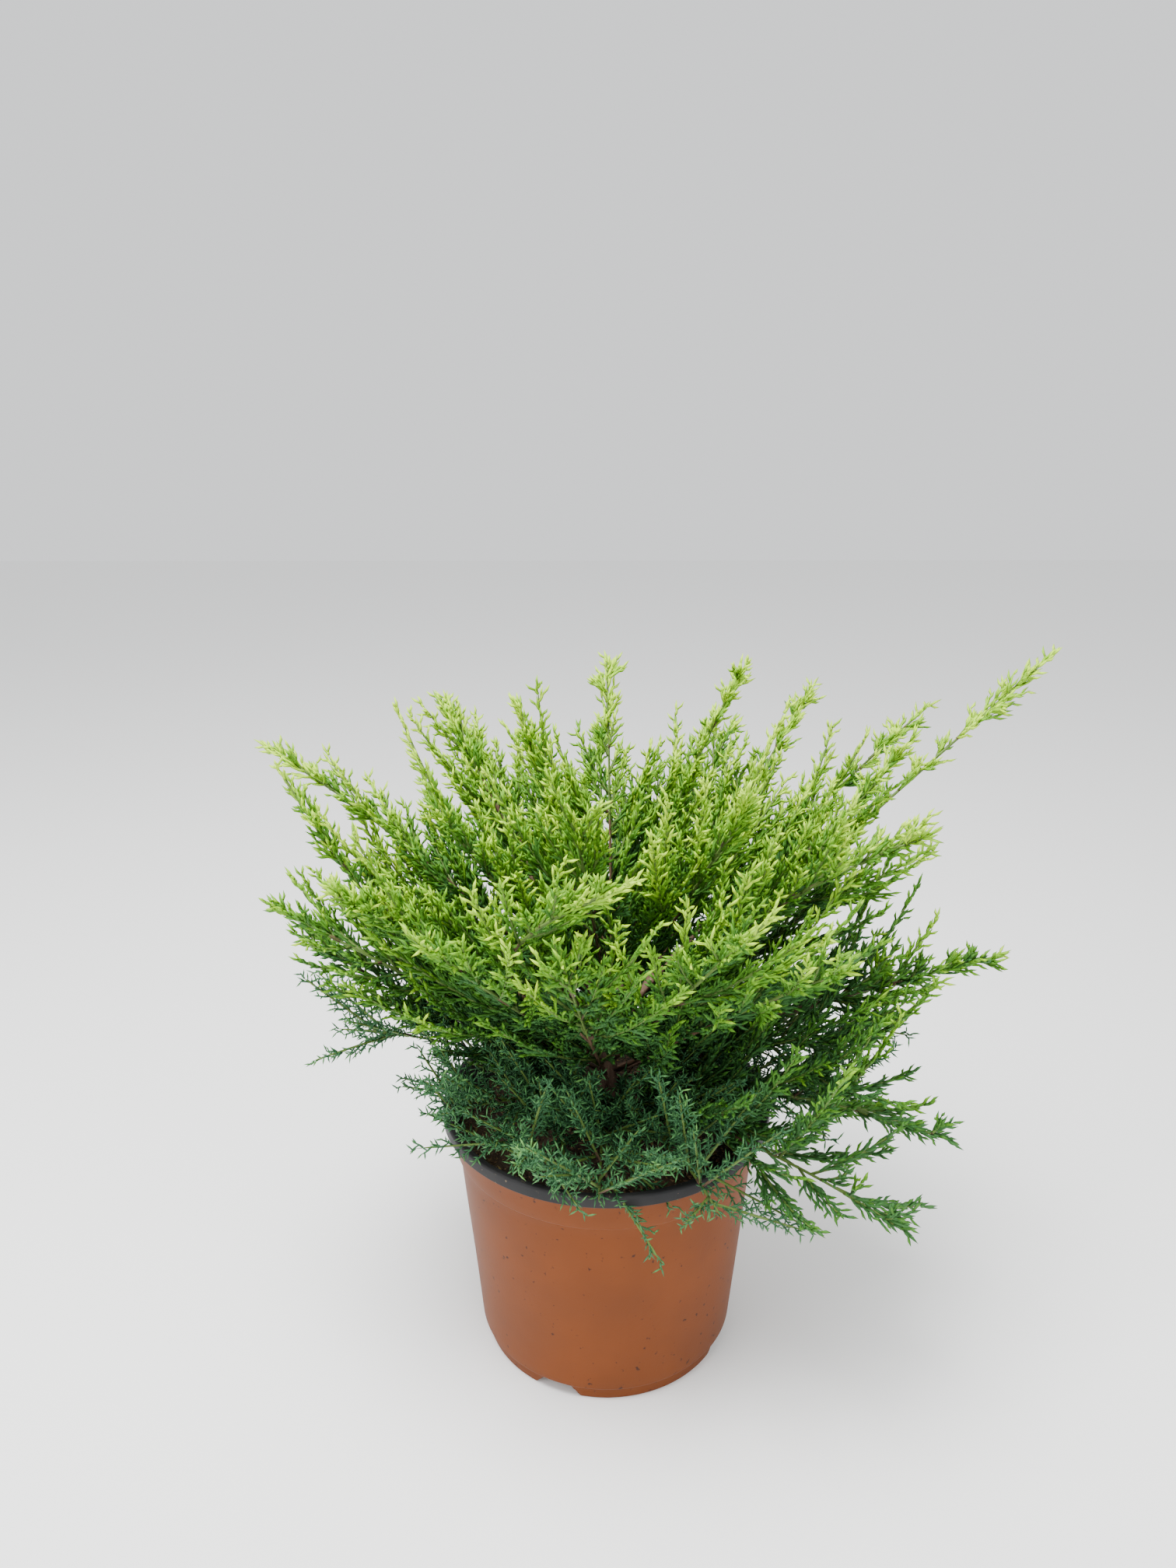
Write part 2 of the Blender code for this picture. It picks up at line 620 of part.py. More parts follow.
def grow_mass(number, spec, space, part, section, look):
    """One limb's foliage, joined to a single solid: a stem, side shoots by turns, and leaves on them."""
    random = np.random.default_rng(SEED + number)
    curve = limb_curve(spec)
    name = "foliage_" + spec["name"]
    twigs = new_collection("twigs of " + name, hidden=True)
    kind = spec["kind"]
    first = spec["bare"] + (FIT / curve_length(curve) if spec["bare"] else 0.0)
    shares = np.linspace(first, STEM_SHARE, STEM_POINTS)
    thick = BOUGH_END_RADIUS if spec["bare"] else STEM_ROOT_RADIUS
    radii = np.linspace(thick, STEM_TIP_RADIUS, STEM_POINTS)
    stem = tube(name, [along(curve, float(s)) for s in shares], radii, part, section=section)
    begin = spec["bare"] + 0.02 if spec["bare"] else 0.13
    leaves = 0
    for turn in range(spec["shoots"]):
        share = begin + (0.93 - begin) * ((turn + 0.4) / spec["shoots"]) ** 1.1
        leaves += grow_shoot(spec, space, share, 1.0 if turn % 2 else -1.0, random, twigs)
    start = along(curve, TERMINAL_SHARE)
    end = along(curve, 1.0)
    knee = start.lerp(end, 0.4)
    flat = heading(curve, 1.0).cross(Vector((0.0, 0.0, 1.0))).normalized()
    corners = plume_corners(start, knee, end, flat.cross(heading(curve, 1.0)), 0.0042, 0.003)
    plume(start, knee, end, corners, twigs)
    print(name, leaves, "plumes")
    stem = as_meshes([stem], part)[0]
    join = stem.modifiers.new("join", "BOOLEAN")
    join.operand_type = "COLLECTION"
    join.collection = twigs
    join.operation = "UNION"
    join.solver = "MANIFOLD"
    bpy.context.view_layer.update()
    graph = bpy.context.evaluated_depsgraph_get()
    joined = bpy.data.meshes.new_from_object(stem.evaluated_get(graph))
    stem.modifiers.clear()
    keep_outer_shell(joined)
    stem.data = joined
    joined.materials.clear()
    joined.materials.append(look)
    for twig in list(twigs.objects):
        bpy.data.objects.remove(twig, do_unlink=True)
    bpy.data.collections.remove(twigs)
    return stem


def twig_section(helpers):
    """A twig's outline: three points round a circle of radius 1."""
    curve = bpy.data.curves.new("twig section", "CURVE")
    curve.dimensions = "2D"
    spline = curve.splines.new("POLY")
    spline.points.add(2)
    for number, spot in enumerate(spline.points):
        angle = math.radians(90 + 120 * number)
        spot.co = (math.cos(angle), math.sin(angle), 0.0, 1.0)
    spline.use_cyclic_u = True
    section = bpy.data.objects.new("twig section", curve)
    section.hide_render = True
    helpers.objects.link(section)
    return section


def main():
    clear_scene()
    part = new_collection("potted juniper")
    cutters = new_collection("pot cutters", hidden=True)
    helpers = new_collection("outlines", hidden=True)
    terracotta = material("terracotta plastic", (0.42, 0.15, 0.055), 0.45)
    peat = material("peat", (0.045, 0.028, 0.018), 0.95)
    bark = material("bark", (0.20, 0.085, 0.045), 0.85)
    golden = material("scale leaves", (0.20, 0.38, 0.045), 0.55)
    bluish = material("needle leaves", (0.055, 0.17, 0.085), 0.6)
    section = twig_section(helpers)

    space = Space(LIMBS)
    for number, spec in enumerate(LIMBS):
        if spec["bare"]:
            make_bough(spec, part, bark)
        look = golden if spec["kind"] is SCALE else bluish
        grow_mass(number, spec, space, part, section, look)
    make_trunk(part, bark)
    make_soil(part, peat)
    make_pot(part, cutters, terracotta)
    for cutter in cutters.objects:
        cutter.hide_render = True
        cutter.display_type = "WIRE"


main()
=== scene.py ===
import math

import bpy
import numpy as np
from mathutils import Matrix, Vector


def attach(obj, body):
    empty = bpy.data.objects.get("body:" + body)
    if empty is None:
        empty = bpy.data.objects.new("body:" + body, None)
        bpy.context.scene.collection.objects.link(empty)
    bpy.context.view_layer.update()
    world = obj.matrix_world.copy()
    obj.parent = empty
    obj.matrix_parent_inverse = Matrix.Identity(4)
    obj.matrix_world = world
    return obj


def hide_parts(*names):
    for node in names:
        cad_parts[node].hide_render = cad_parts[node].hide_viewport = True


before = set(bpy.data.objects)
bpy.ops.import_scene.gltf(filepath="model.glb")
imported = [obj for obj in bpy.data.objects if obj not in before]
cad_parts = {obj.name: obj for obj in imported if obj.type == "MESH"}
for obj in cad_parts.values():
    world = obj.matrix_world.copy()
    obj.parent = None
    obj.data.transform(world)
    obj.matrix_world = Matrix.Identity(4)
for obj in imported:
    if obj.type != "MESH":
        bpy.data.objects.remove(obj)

scene = bpy.context.scene
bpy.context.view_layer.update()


# Camera: where it stands and how it is turned, in metres and radians

cameraSettings = {
    "place": (0.0, -0.58894, 0.52684),
    "yaw": -0.017,
    "pitch": 0.3058,
    "roll": -0.0027,
    "focalPixels": 1482.2,
    "imageHeight": 2016,
    "sensor": 36.0,
}


def makeCamera(s):
    # Forward is yaw and pitch, right is level, up is their cross product; roll turns those two about forward.
    yaw, pitch, roll = s["yaw"], s["pitch"], s["roll"]
    forward = Vector((math.sin(yaw) * math.cos(pitch), math.cos(yaw) * math.cos(pitch), -math.sin(pitch)))
    level = Vector((math.cos(yaw), -math.sin(yaw), 0.0))
    over = level.cross(forward)
    right = level * math.cos(roll) + over * math.sin(roll)
    up = over * math.cos(roll) - level * math.sin(roll)
    lens = bpy.data.cameras.new("camera")
    lens.sensor_width = s["sensor"]
    lens.lens = s["sensor"] * s["focalPixels"] / s["imageHeight"]
    camera = bpy.data.objects.new("camera", lens)
    turned = Matrix((right, up, -forward)).transposed().to_4x4()
    camera.matrix_world = Matrix.Translation(Vector(s["place"])) @ turned
    scene.collection.objects.link(camera)
    scene.camera = camera


makeCamera(cameraSettings)
print("camera placed")


# Shared tools: noise, meshes and turned surfaces

upward = np.array((0.0, 0.0, 1.0))
fullTurn = 2 * math.pi


def cellNoise(points, size, seed):
    # A lattice has a random value from -1 to 1 at each corner; a point smoothly blends the 8 corners round it.
    lattice = 32
    table = np.random.default_rng(seed).uniform(-1, 1, (lattice, lattice, lattice))
    place = np.asarray(points) / size
    low = np.floor(place).astype(int)
    part = place - low
    part = part * part * (3 - 2 * part)
    total = np.zeros(len(place))
    for corner in range(8):
        step = np.array([corner & 1, corner >> 1 & 1, corner >> 2 & 1])
        weight = np.prod(np.where(step, part, 1 - part), axis=1)
        index = (low + step) % lattice
        total += weight * table[index[:, 0], index[:, 1], index[:, 2]]
    return total


def layeredNoise(points, size, seed, layers):
    # Each layer is half as large and half as strong as the one before.
    return sum(cellNoise(points, size / 2**k, seed + k) / 2**k for k in range(layers))


def unit(vectors):
    # Each vector is divided by its own length.
    return vectors / np.maximum(np.linalg.norm(vectors, axis=-1, keepdims=True), 1e-9)


def newPiece(name, corners, triangles, looks, lookIndex=None):
    # The arrays go into the mesh as they are; each triangle may have its own material.
    triangles = np.ascontiguousarray(triangles, dtype=np.int32)
    count = len(triangles)
    mesh = bpy.data.meshes.new(name)
    mesh.vertices.add(len(corners))
    mesh.vertices.foreach_set("co", np.ascontiguousarray(corners, dtype=np.float32).ravel())
    mesh.loops.add(count * 3)
    mesh.loops.foreach_set("vertex_index", triangles.ravel())
    mesh.polygons.add(count)
    mesh.polygons.foreach_set("loop_start", np.arange(count, dtype=np.int32) * 3)
    for look in looks:
        mesh.materials.append(look)
    if lookIndex is not None:
        mesh.polygons.foreach_set("material_index", np.ascontiguousarray(lookIndex, dtype=np.int32))
    mesh.polygons.foreach_set("use_smooth", np.ones(count, dtype=bool))
    mesh.update(calc_edges=True)
    piece = bpy.data.objects.new(name, mesh)
    scene.collection.objects.link(piece)
    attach(piece, "root")
    return piece


def turnedFaces(rings, around):
    # Triangles between two poles, the first and last vertex, over closed rings that run outwards, then in.
    ring = 1 + np.arange(rings)[:, None] * around + np.arange(around)[None, :]
    nextRing = np.roll(ring, -1, axis=1)
    start = np.zeros(around, dtype=int)
    end = start + 1 + rings * around
    a, b, c, d = ring[:-1], nextRing[:-1], nextRing[1:], ring[1:]
    return np.concatenate([
        np.stack([start, nextRing[0], ring[0]], 1),
        np.stack([a, b, c], 2).reshape(-1, 3),
        np.stack([a, c, d], 2).reshape(-1, 3),
        np.stack([ring[-1], nextRing[-1], end], 1),
    ])


def roundedProfile(corners, radius, longest):
    # Each inner corner becomes a small curve, then straight stretches are cut so none is longer than longest.
    mostCut = 0.42  # share of a stretch that a corner's curve may take
    corners = np.asarray(corners, dtype=float)
    path = [corners[0]]
    for before, here, after in zip(corners, corners[1:], corners[2:]):
        back, on = before - here, after - here
        cut = min(radius, mostCut * np.linalg.norm(back), mostCut * np.linalg.norm(on))
        first = here + back / np.linalg.norm(back) * cut
        last = here + on / np.linalg.norm(on) * cut
        for share in (0.0, 0.33, 0.67, 1.0):
            path.append(first * (1 - share) ** 2 + here * 2 * share * (1 - share) + last * share**2)
    path.append(corners[-1])
    fine = [path[0]]
    for a, b in zip(path, path[1:]):
        pieces = max(1, int(math.ceil(np.linalg.norm(b - a) / longest)))
        fine += [a + (b - a) * (k + 1) / pieces for k in range(pieces)]
    return np.array(fine)


# Materials: one grain group, used by every finish that has a pattern

grainSettings = {
    "fineDetail": 4.0,
    "speckDetail": 2.0, "speckEdge": 14.0,
    "patchScale": 22.0, "patchDetail": 3.0, "patchLow": 0.35, "patchHigh": 0.68,
}


def makeGrainGroup(s):
    # Height is fine noise; Specks is noise less one minus the share, made steep; Patches is broad soft noise.
    group = bpy.data.node_groups.new("grain", "ShaderNodeTree")
    for label, default in (("Scale", 300.0), ("Speck size", 400.0), ("Speck share", 0.3)):
        socket = group.interface.new_socket(name=label, in_out="INPUT", socket_type="NodeSocketFloat")
        socket.default_value = default
    for label in ("Height", "Specks", "Patches"):
        group.interface.new_socket(name=label, in_out="OUTPUT", socket_type="NodeSocketFloat")
    nodes, links = group.nodes, group.links
    entry = nodes.new("NodeGroupInput")
    leave = nodes.new("NodeGroupOutput")
    where = nodes.new("ShaderNodeTexCoord")

    def addNoise(detail):
        # A noise texture on the piece's own coordinates.
        noise = nodes.new("ShaderNodeTexNoise")
        noise.inputs["Detail"].default_value = detail
        links.new(where.outputs["Object"], noise.inputs["Vector"])
        return noise

    fine = addNoise(s["fineDetail"])
    links.new(entry.outputs["Scale"], fine.inputs["Scale"])
    links.new(fine.outputs["Fac"], leave.inputs["Height"])

    specks = addNoise(s["speckDetail"])
    links.new(entry.outputs["Speck size"], specks.inputs["Scale"])
    threshold = nodes.new("ShaderNodeMath")
    threshold.operation = "SUBTRACT"
    threshold.inputs[0].default_value = 1.0
    links.new(entry.outputs["Speck share"], threshold.inputs[1])
    over = nodes.new("ShaderNodeMath")
    over.operation = "SUBTRACT"
    links.new(specks.outputs["Fac"], over.inputs[0])
    links.new(threshold.outputs[0], over.inputs[1])
    sharp = nodes.new("ShaderNodeMath")
    sharp.operation = "MULTIPLY"
    sharp.inputs[1].default_value = s["speckEdge"]
    sharp.use_clamp = True
    links.new(over.outputs[0], sharp.inputs[0])
    links.new(sharp.outputs[0], leave.inputs["Specks"])

    broad = addNoise(s["patchDetail"])
    broad.inputs["Scale"].default_value = s["patchScale"]
    links.new(broad.outputs["Fac"], leave.inputs["Patches"])
    return group


grainGroup = makeGrainGroup(grainSettings)


def newLook(name, base, roughness, second=None, speck=None, scale=300.0, speckSize=400.0, speckShare=0.3,
            bump=0.0, depth=0.0003, specular=0.5):
    # Base colour turns to the second colour by the broad patches and to the speck colour on the specks.
    look = bpy.data.materials.new(name)
    look.use_nodes = True
    nodes, links = look.node_tree.nodes, look.node_tree.links
    shader = nodes["Principled BSDF"]
    shader.inputs["Base Color"].default_value = (*base, 1.0)
    shader.inputs["Roughness"].default_value = roughness
    shader.inputs["Specular IOR Level"].default_value = specular
    if second is None:
        return look
    grain = nodes.new("ShaderNodeGroup")
    grain.node_tree = grainGroup
    grain.inputs["Scale"].default_value = scale
    grain.inputs["Speck size"].default_value = speckSize
    grain.inputs["Speck share"].default_value = speckShare
    spread = nodes.new("ShaderNodeMapRange")
    spread.inputs["From Min"].default_value = grainSettings["patchLow"]
    spread.inputs["From Max"].default_value = grainSettings["patchHigh"]
    links.new(grain.outputs["Patches"], spread.inputs["Value"])
    blend = nodes.new("ShaderNodeMix")
    blend.data_type = "RGBA"
    blend.inputs["A"].default_value = (*base, 1.0)
    blend.inputs["B"].default_value = (*second, 1.0)
    links.new(spread.outputs["Result"], blend.inputs["Factor"])
    colour = blend.outputs["Result"]
    if speck is not None:
        dirt = nodes.new("ShaderNodeMix")
        dirt.data_type = "RGBA"
        dirt.inputs["B"].default_value = (*speck, 1.0)
        links.new(colour, dirt.inputs["A"])
        links.new(grain.outputs["Specks"], dirt.inputs["Factor"])
        colour = dirt.outputs["Result"]
    links.new(colour, shader.inputs["Base Color"])
    if bump:
        relief = nodes.new("ShaderNodeBump")
        relief.inputs["Strength"].default_value = bump
        relief.inputs["Distance"].default_value = depth
        links.new(grain.outputs["Height"], relief.inputs["Height"])
        links.new(relief.outputs["Normal"], shader.inputs["Normal"])
    return look


# Pot: the nursery pot's sizes, in metres, and its finishes

potSettings = {
    "height": 0.151, "rimRadius": 0.095, "lipHeight": 0.0067, "lipWidth": 0.0042,
    "shoulderTop": 0.0910, "shoulderFoot": 0.0880, "shoulderHeight": 0.126,
    "bodyTop": 0.0860, "bodyFoot": 0.0755, "bodyFootHeight": 0.008,
    "footOuter": 0.0732, "footInner": 0.0680, "underside": 0.0070, "pad": 0.023,
    "wall": 0.0013, "floorTop": 0.0085, "step": 0.0012, "slopeRun": 0.002, "hair": 0.0003, "footBevel": 0.0008,
    "lipUnder": (0.0004, 0.0005), "lipOver": (0.0012, 0.0009), "underLip": 0.0006, "innerCurve": 0.004,
    "notches": 4, "firstNotch": -112.0, "notchTop": 0.016, "notchFoot": 0.028, "notchHeight": 0.0068,
    "holeRadius": 0.004, "holeCircle": 0.045, "holeSides": 28, "holeCut": 0.012, "holeDrop": 0.0008,
    "around": 384, "rounding": 0.0009, "rowHeight": 0.006, "insideFrom": 0.6, "faceMargin": 0.0002,
    "wobble": 0.00025, "wobbleSize": 0.05, "wobbleSeed": 5, "wobbleFrom": 0.02,
}
clayLook = newLook("clayPlastic", (0.142, 0.036, 0.0062), 0.50, second=(0.118, 0.031, 0.0062),
                   speck=(0.035, 0.012, 0.006), scale=900.0, speckSize=260.0, speckShare=0.325,
                   bump=0.25, depth=0.0002, specular=0.12)
rimLook = newLook("blackRim", (0.014, 0.014, 0.015), 0.55, second=(0.026, 0.025, 0.025),
                  speck=(0.12, 0.09, 0.06), scale=800.0, speckSize=420.0, speckShare=0.30,
                  bump=0.3, depth=0.0002, specular=0.15)
insideLook = newLook("blackInside", (0.015, 0.014, 0.014), 0.6, second=(0.03, 0.026, 0.022),
                     scale=500.0, bump=0.2)


def potProfile(s):
    # The wall's outline as radius and height: the underside, up the outside, over the lip, and down inside.
    lipFoot = s["height"] - s["lipHeight"]
    underIn, underUp = s["lipUnder"]
    overIn, overDown = s["lipOver"]
    return [
        (0.0, 0.0), (s["pad"], 0.0), (s["pad"] + s["slopeRun"], s["underside"]),
        (s["footInner"] - s["step"], s["underside"]), (s["footInner"], 0.0),
        (s["footOuter"] - s["footBevel"], 0.0),
        (s["footOuter"], s["bodyFootHeight"] - s["hair"]), (s["bodyFoot"] - s["step"], s["bodyFootHeight"]),
        (s["bodyFoot"], s["bodyFootHeight"] + s["step"]), (s["bodyTop"], s["shoulderHeight"] - s["step"]),
        (s["shoulderFoot"], s["shoulderHeight"]), (s["shoulderTop"], lipFoot),
        (s["rimRadius"] - underIn, lipFoot), (s["rimRadius"], lipFoot + underUp),
        (s["rimRadius"] - s["hair"], s["height"] - overDown), (s["rimRadius"] - overIn, s["height"]),
        (s["rimRadius"] - s["lipWidth"], s["height"]),
        (s["shoulderTop"] - s["wall"] - s["underLip"], lipFoot),
        (s["bodyTop"] - s["wall"], s["shoulderHeight"]),
        (s["bodyFoot"] - s["wall"], s["floorTop"] + s["innerCurve"]),
        (s["footInner"] + s["slopeRun"], s["floorTop"]), (0.0, s["floorTop"]),
    ]


def potLooks(points, faces, s):
    # A face is inside if nearer the axis than the wall's middle, and on the lip if above the lip's foot.
    lipFoot = s["height"] - s["lipHeight"]
    middle = points[faces].mean(axis=1)
    reach = np.hypot(middle[:, 0], middle[:, 1])
    outer = np.interp(
        middle[:, 2],
        [s["bodyFootHeight"] + s["step"], s["shoulderHeight"] - s["step"], s["shoulderHeight"], lipFoot],
        [s["bodyFoot"], s["bodyTop"], s["bodyTop"], s["shoulderTop"]])
    inside = (reach < outer - s["wall"] * s["insideFrom"]) & (middle[:, 2] > s["floorTop"] - s["faceMargin"])
    lip = (middle[:, 2] > lipFoot - s["hair"]) & ~inside
    return np.where(inside, 2, np.where(lip, 1, 0))


def makePot(s):
    # The rounded profile is turned about Z; near the notches the foot's low rows rise to the notch height.
    path = roundedProfile(potProfile(s), s["rounding"], s["rowHeight"])
    inner = path[1:-1]
    around = s["around"]
    turn = np.arange(around) * fullTurn / around
    radius = np.repeat(inner[:, 0][:, None], around, axis=1)
    height = np.repeat(inner[:, 1][:, None], around, axis=1)
    notch = math.radians(360 / s["notches"])
    off = (turn - math.radians(s["firstNotch"]) + notch / 2) % notch - notch / 2
    arc = np.abs(off) * (s["footInner"] + s["bodyFoot"]) / 2
    slope = np.clip((s["notchFoot"] / 2 - arc) / ((s["notchFoot"] - s["notchTop"]) / 2), 0, 1)
    low = (inner[:, 0] > s["footInner"] - s["slopeRun"]) & (inner[:, 1] < s["underside"])
    height = np.where(low[:, None], np.maximum(height, slope[None, :] * s["notchHeight"]), height)
    flat = np.stack([radius * np.cos(turn), radius * np.sin(turn), height], 2).reshape(-1, 3)
    # The wall is a little out of round; the wobble fades near the axis.
    wobble = cellNoise(flat, s["wobbleSize"], s["wobbleSeed"]) * s["wobble"]
    outside = np.hypot(flat[:, 0], flat[:, 1])
    flat[:, :2] *= (1 + wobble / np.maximum(outside, s["wobbleFrom"]))[:, None]
    points = np.concatenate([[[0, 0, path[0, 1]]], flat, [[0, 0, path[-1, 1]]]])
    faces = turnedFaces(len(inner), around)
    pot = newPiece("pot_shell", points, faces, [clayLook, rimLook, insideLook], potLooks(points, faces, s))
    makeDrainHoles(pot, s)
    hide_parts("pot")


def makeDrainHoles(pot, s):
    # Round cutters go through the floor midway between notches; the result is applied, so no modifier is left.
    cutters = []
    for number in range(s["notches"]):
        angle = math.radians(s["firstNotch"] + (number + 0.5) * 360.0 / s["notches"])
        x, y = s["holeCircle"] * math.cos(angle), s["holeCircle"] * math.sin(angle)
        bpy.ops.mesh.primitive_cylinder_add(
            vertices=s["holeSides"], radius=s["holeRadius"], depth=s["holeCut"],
            location=(x, y, s["floorTop"] - s["holeDrop"]))
        cutters.append(bpy.context.object)
    for cutter in cutters:
        cut = pot.modifiers.new("drain", "BOOLEAN")
        cut.object = cutter
        cut.operation = "DIFFERENCE"
        cut.solver = "EXACT"
    bpy.context.view_layer.update()
    graph = bpy.context.evaluated_depsgraph_get()
    cutMesh = bpy.data.meshes.new_from_object(pot.evaluated_get(graph))
    pot.modifiers.clear()
    pot.data = cutMesh
    for cutter in cutters:
        bpy.data.objects.remove(cutter, do_unlink=True)


makePot(potSettings)
print("pot made")


# Soil: dark peat, with bits of bark and dry moss on it

soilSettings = {
    "top": 0.136, "edgeDrop": 0.004, "levelRadius": 0.018, "gap": 0.0003, "around": 260, "rings": 62,
    "relief": 0.0022, "lumpSize": 0.013, "lumpSeed": 11, "lumpLayers": 5, "calmMiddle": (9, 0.12),
    "calmEdge": (14, 0.15), "bottomRadius": 0.02, "bottomOut": 0.0015, "bottomUp": 0.0039,
    "chips": 1500, "chipSeed": 31, "chipLong": (0.0012, 0.0058), "chipWide": (0.16, 0.5), "chipTilt": 0.28,
    "chipThick": 0.5, "chipThickest": 0.0009, "chipSkew": (0.1, 0.08), "chipLift": 0.0003, "chipNear": 0.03,
    "chipEdge": 0.004, "barkShare": 0.62,
}
peatLook = newLook("peat", (0.030, 0.018, 0.010), 0.95, second=(0.075, 0.045, 0.022),
                   speck=(0.18, 0.11, 0.05), scale=700.0, speckSize=520.0, speckShare=0.40,
                   bump=0.8, depth=0.0008)
chipLook = newLook("barkChip", (0.16, 0.085, 0.040), 0.85, second=(0.27, 0.16, 0.075), scale=900.0, bump=0.4)
mossLook = newLook("dryMoss", (0.34, 0.23, 0.085), 0.9, second=(0.22, 0.19, 0.06), scale=900.0, bump=0.4)


def innerRadius(height):
    # The pot's inner radius runs straight between the corners of its inside profile.
    s = potSettings
    return float(np.interp(
        height,
        [s["floorTop"] + s["innerCurve"], s["shoulderHeight"], s["height"] - s["lipHeight"]],
        [s["bodyFoot"] - s["wall"], s["bodyTop"] - s["wall"], s["shoulderTop"] - s["wall"] - s["underLip"]]))


def soilHeight(x, y):
    # Level under the trunk, sinking by the cube of the share towards the edge, with rough noise on it.
    s = soilSettings
    edge = innerRadius(s["top"] - s["edgeDrop"])
    share = np.clip((np.hypot(x, y) - s["levelRadius"]) / (edge - s["levelRadius"]), 0, 1)
    spots = np.stack([x, y, np.zeros_like(x)], 1)
    rough = layeredNoise(spots, s["lumpSize"], s["lumpSeed"], s["lumpLayers"]) * s["relief"]
    (middleGain, middleLeast), (edgeGain, edgeLeast) = s["calmMiddle"], s["calmEdge"]
    rough = rough * np.clip(share * middleGain, middleLeast, 1)
    return s["top"] - s["edgeDrop"] * share**3 + rough * np.clip((1.0 - share) * edgeGain, edgeLeast, 1)


def makeChips(s, edge):
    # Flat slivers with six corners and eight sides, spread evenly, each turned and tilted by chance.
    random = np.random.default_rng(s["chipSeed"])
    count = s["chips"]
    far = np.sqrt(random.uniform(s["chipNear"], 1.0, count)) * (edge - s["chipEdge"])
    angle = random.uniform(0, fullTurn, count)
    place = np.stack([far * np.cos(angle), far * np.sin(angle)], 1)
    base = np.concatenate([place, soilHeight(place[:, 0], place[:, 1])[:, None] + s["chipLift"]], 1)
    heading = random.uniform(0, fullTurn, count)
    tilt = random.normal(0, s["chipTilt"], count)
    shortest, longest = np.log(s["chipLong"])
    long = np.exp(random.uniform(shortest, longest, count))[:, None]
    along = np.stack([np.cos(heading) * np.cos(tilt), np.sin(heading) * np.cos(tilt), np.sin(tilt)], 1)
    across = np.stack([-np.sin(heading), np.cos(heading), np.zeros(count)], 1)
    over = np.cross(along, across)
    wide = long * random.uniform(*s["chipWide"], (count, 1))
    thick = np.minimum(wide * s["chipThick"], s["chipThickest"])
    leftSkew, rightSkew = s["chipSkew"]
    corners = np.stack([base - along * long / 2, base + across * wide / 2 + along * long * leftSkew,
                        base + over * thick, base - across * wide / 2 - along * long * rightSkew,
                        base - over * thick, base + along * long / 2], 1)
    order = np.array([(2, 1, 0), (3, 2, 0), (4, 3, 0), (1, 4, 0), (1, 2, 5), (2, 3, 5), (3, 4, 5), (4, 1, 5)])
    faces = (order[None] + 6 * np.arange(count)[:, None, None]).reshape(-1, 3)
    looks = np.repeat(np.where(random.uniform(0, 1, count) < s["barkShare"], 1, 2), len(order))
    return corners.reshape(-1, 3), faces, looks


def makeSoil(s):
    # A turned body that fits the pot inside, its top rows raised by soilHeight, with the chips lying on it.
    edgeHeight = s["top"] - s["edgeDrop"]
    edge = innerRadius(edgeHeight) - s["gap"]
    floor = potSettings["floorTop"] + s["gap"]
    side = np.array([
        (s["bottomRadius"], floor), (potSettings["footInner"] + s["bottomOut"], floor),
        (potSettings["bodyFoot"] - potSettings["wall"] - s["gap"], floor + s["bottomUp"]),
        (innerRadius(potSettings["shoulderHeight"]) - s["gap"], potSettings["shoulderHeight"]),
    ])
    tops = np.linspace(edge, 0.0, s["rings"] + 1)[:-1]
    inner = np.concatenate([side, np.stack([tops, np.full(len(tops), edgeHeight)], 1)])
    around = s["around"]
    turn = np.arange(around) * fullTurn / around
    x, y = inner[:, :1] * np.cos(turn), inner[:, :1] * np.sin(turn)
    z = np.repeat(inner[:, 1:], around, axis=1)
    z[len(side):] = soilHeight(x[len(side):].ravel(), y[len(side):].ravel()).reshape(-1, around)
    points = np.concatenate([[[0, 0, floor]], np.stack([x, y, z], 2).reshape(-1, 3), [[0, 0, s["top"]]]])
    faces = turnedFaces(len(inner), around)
    chipPoints, chipFaces, chipLooks = makeChips(s, edge)
    soil = newPiece("soil_top", np.concatenate([points, chipPoints]),
                    np.concatenate([faces, chipFaces + len(points)]), [peatLook, chipLook, mossLook],
                    np.concatenate([np.zeros(len(faces), dtype=int), chipLooks]))
    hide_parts("soil")


makeSoil(soilSettings)
print("soil made")


# Limbs: name, azimuth in degrees, reach, top and root height in metres, then bow, swerve and bare share

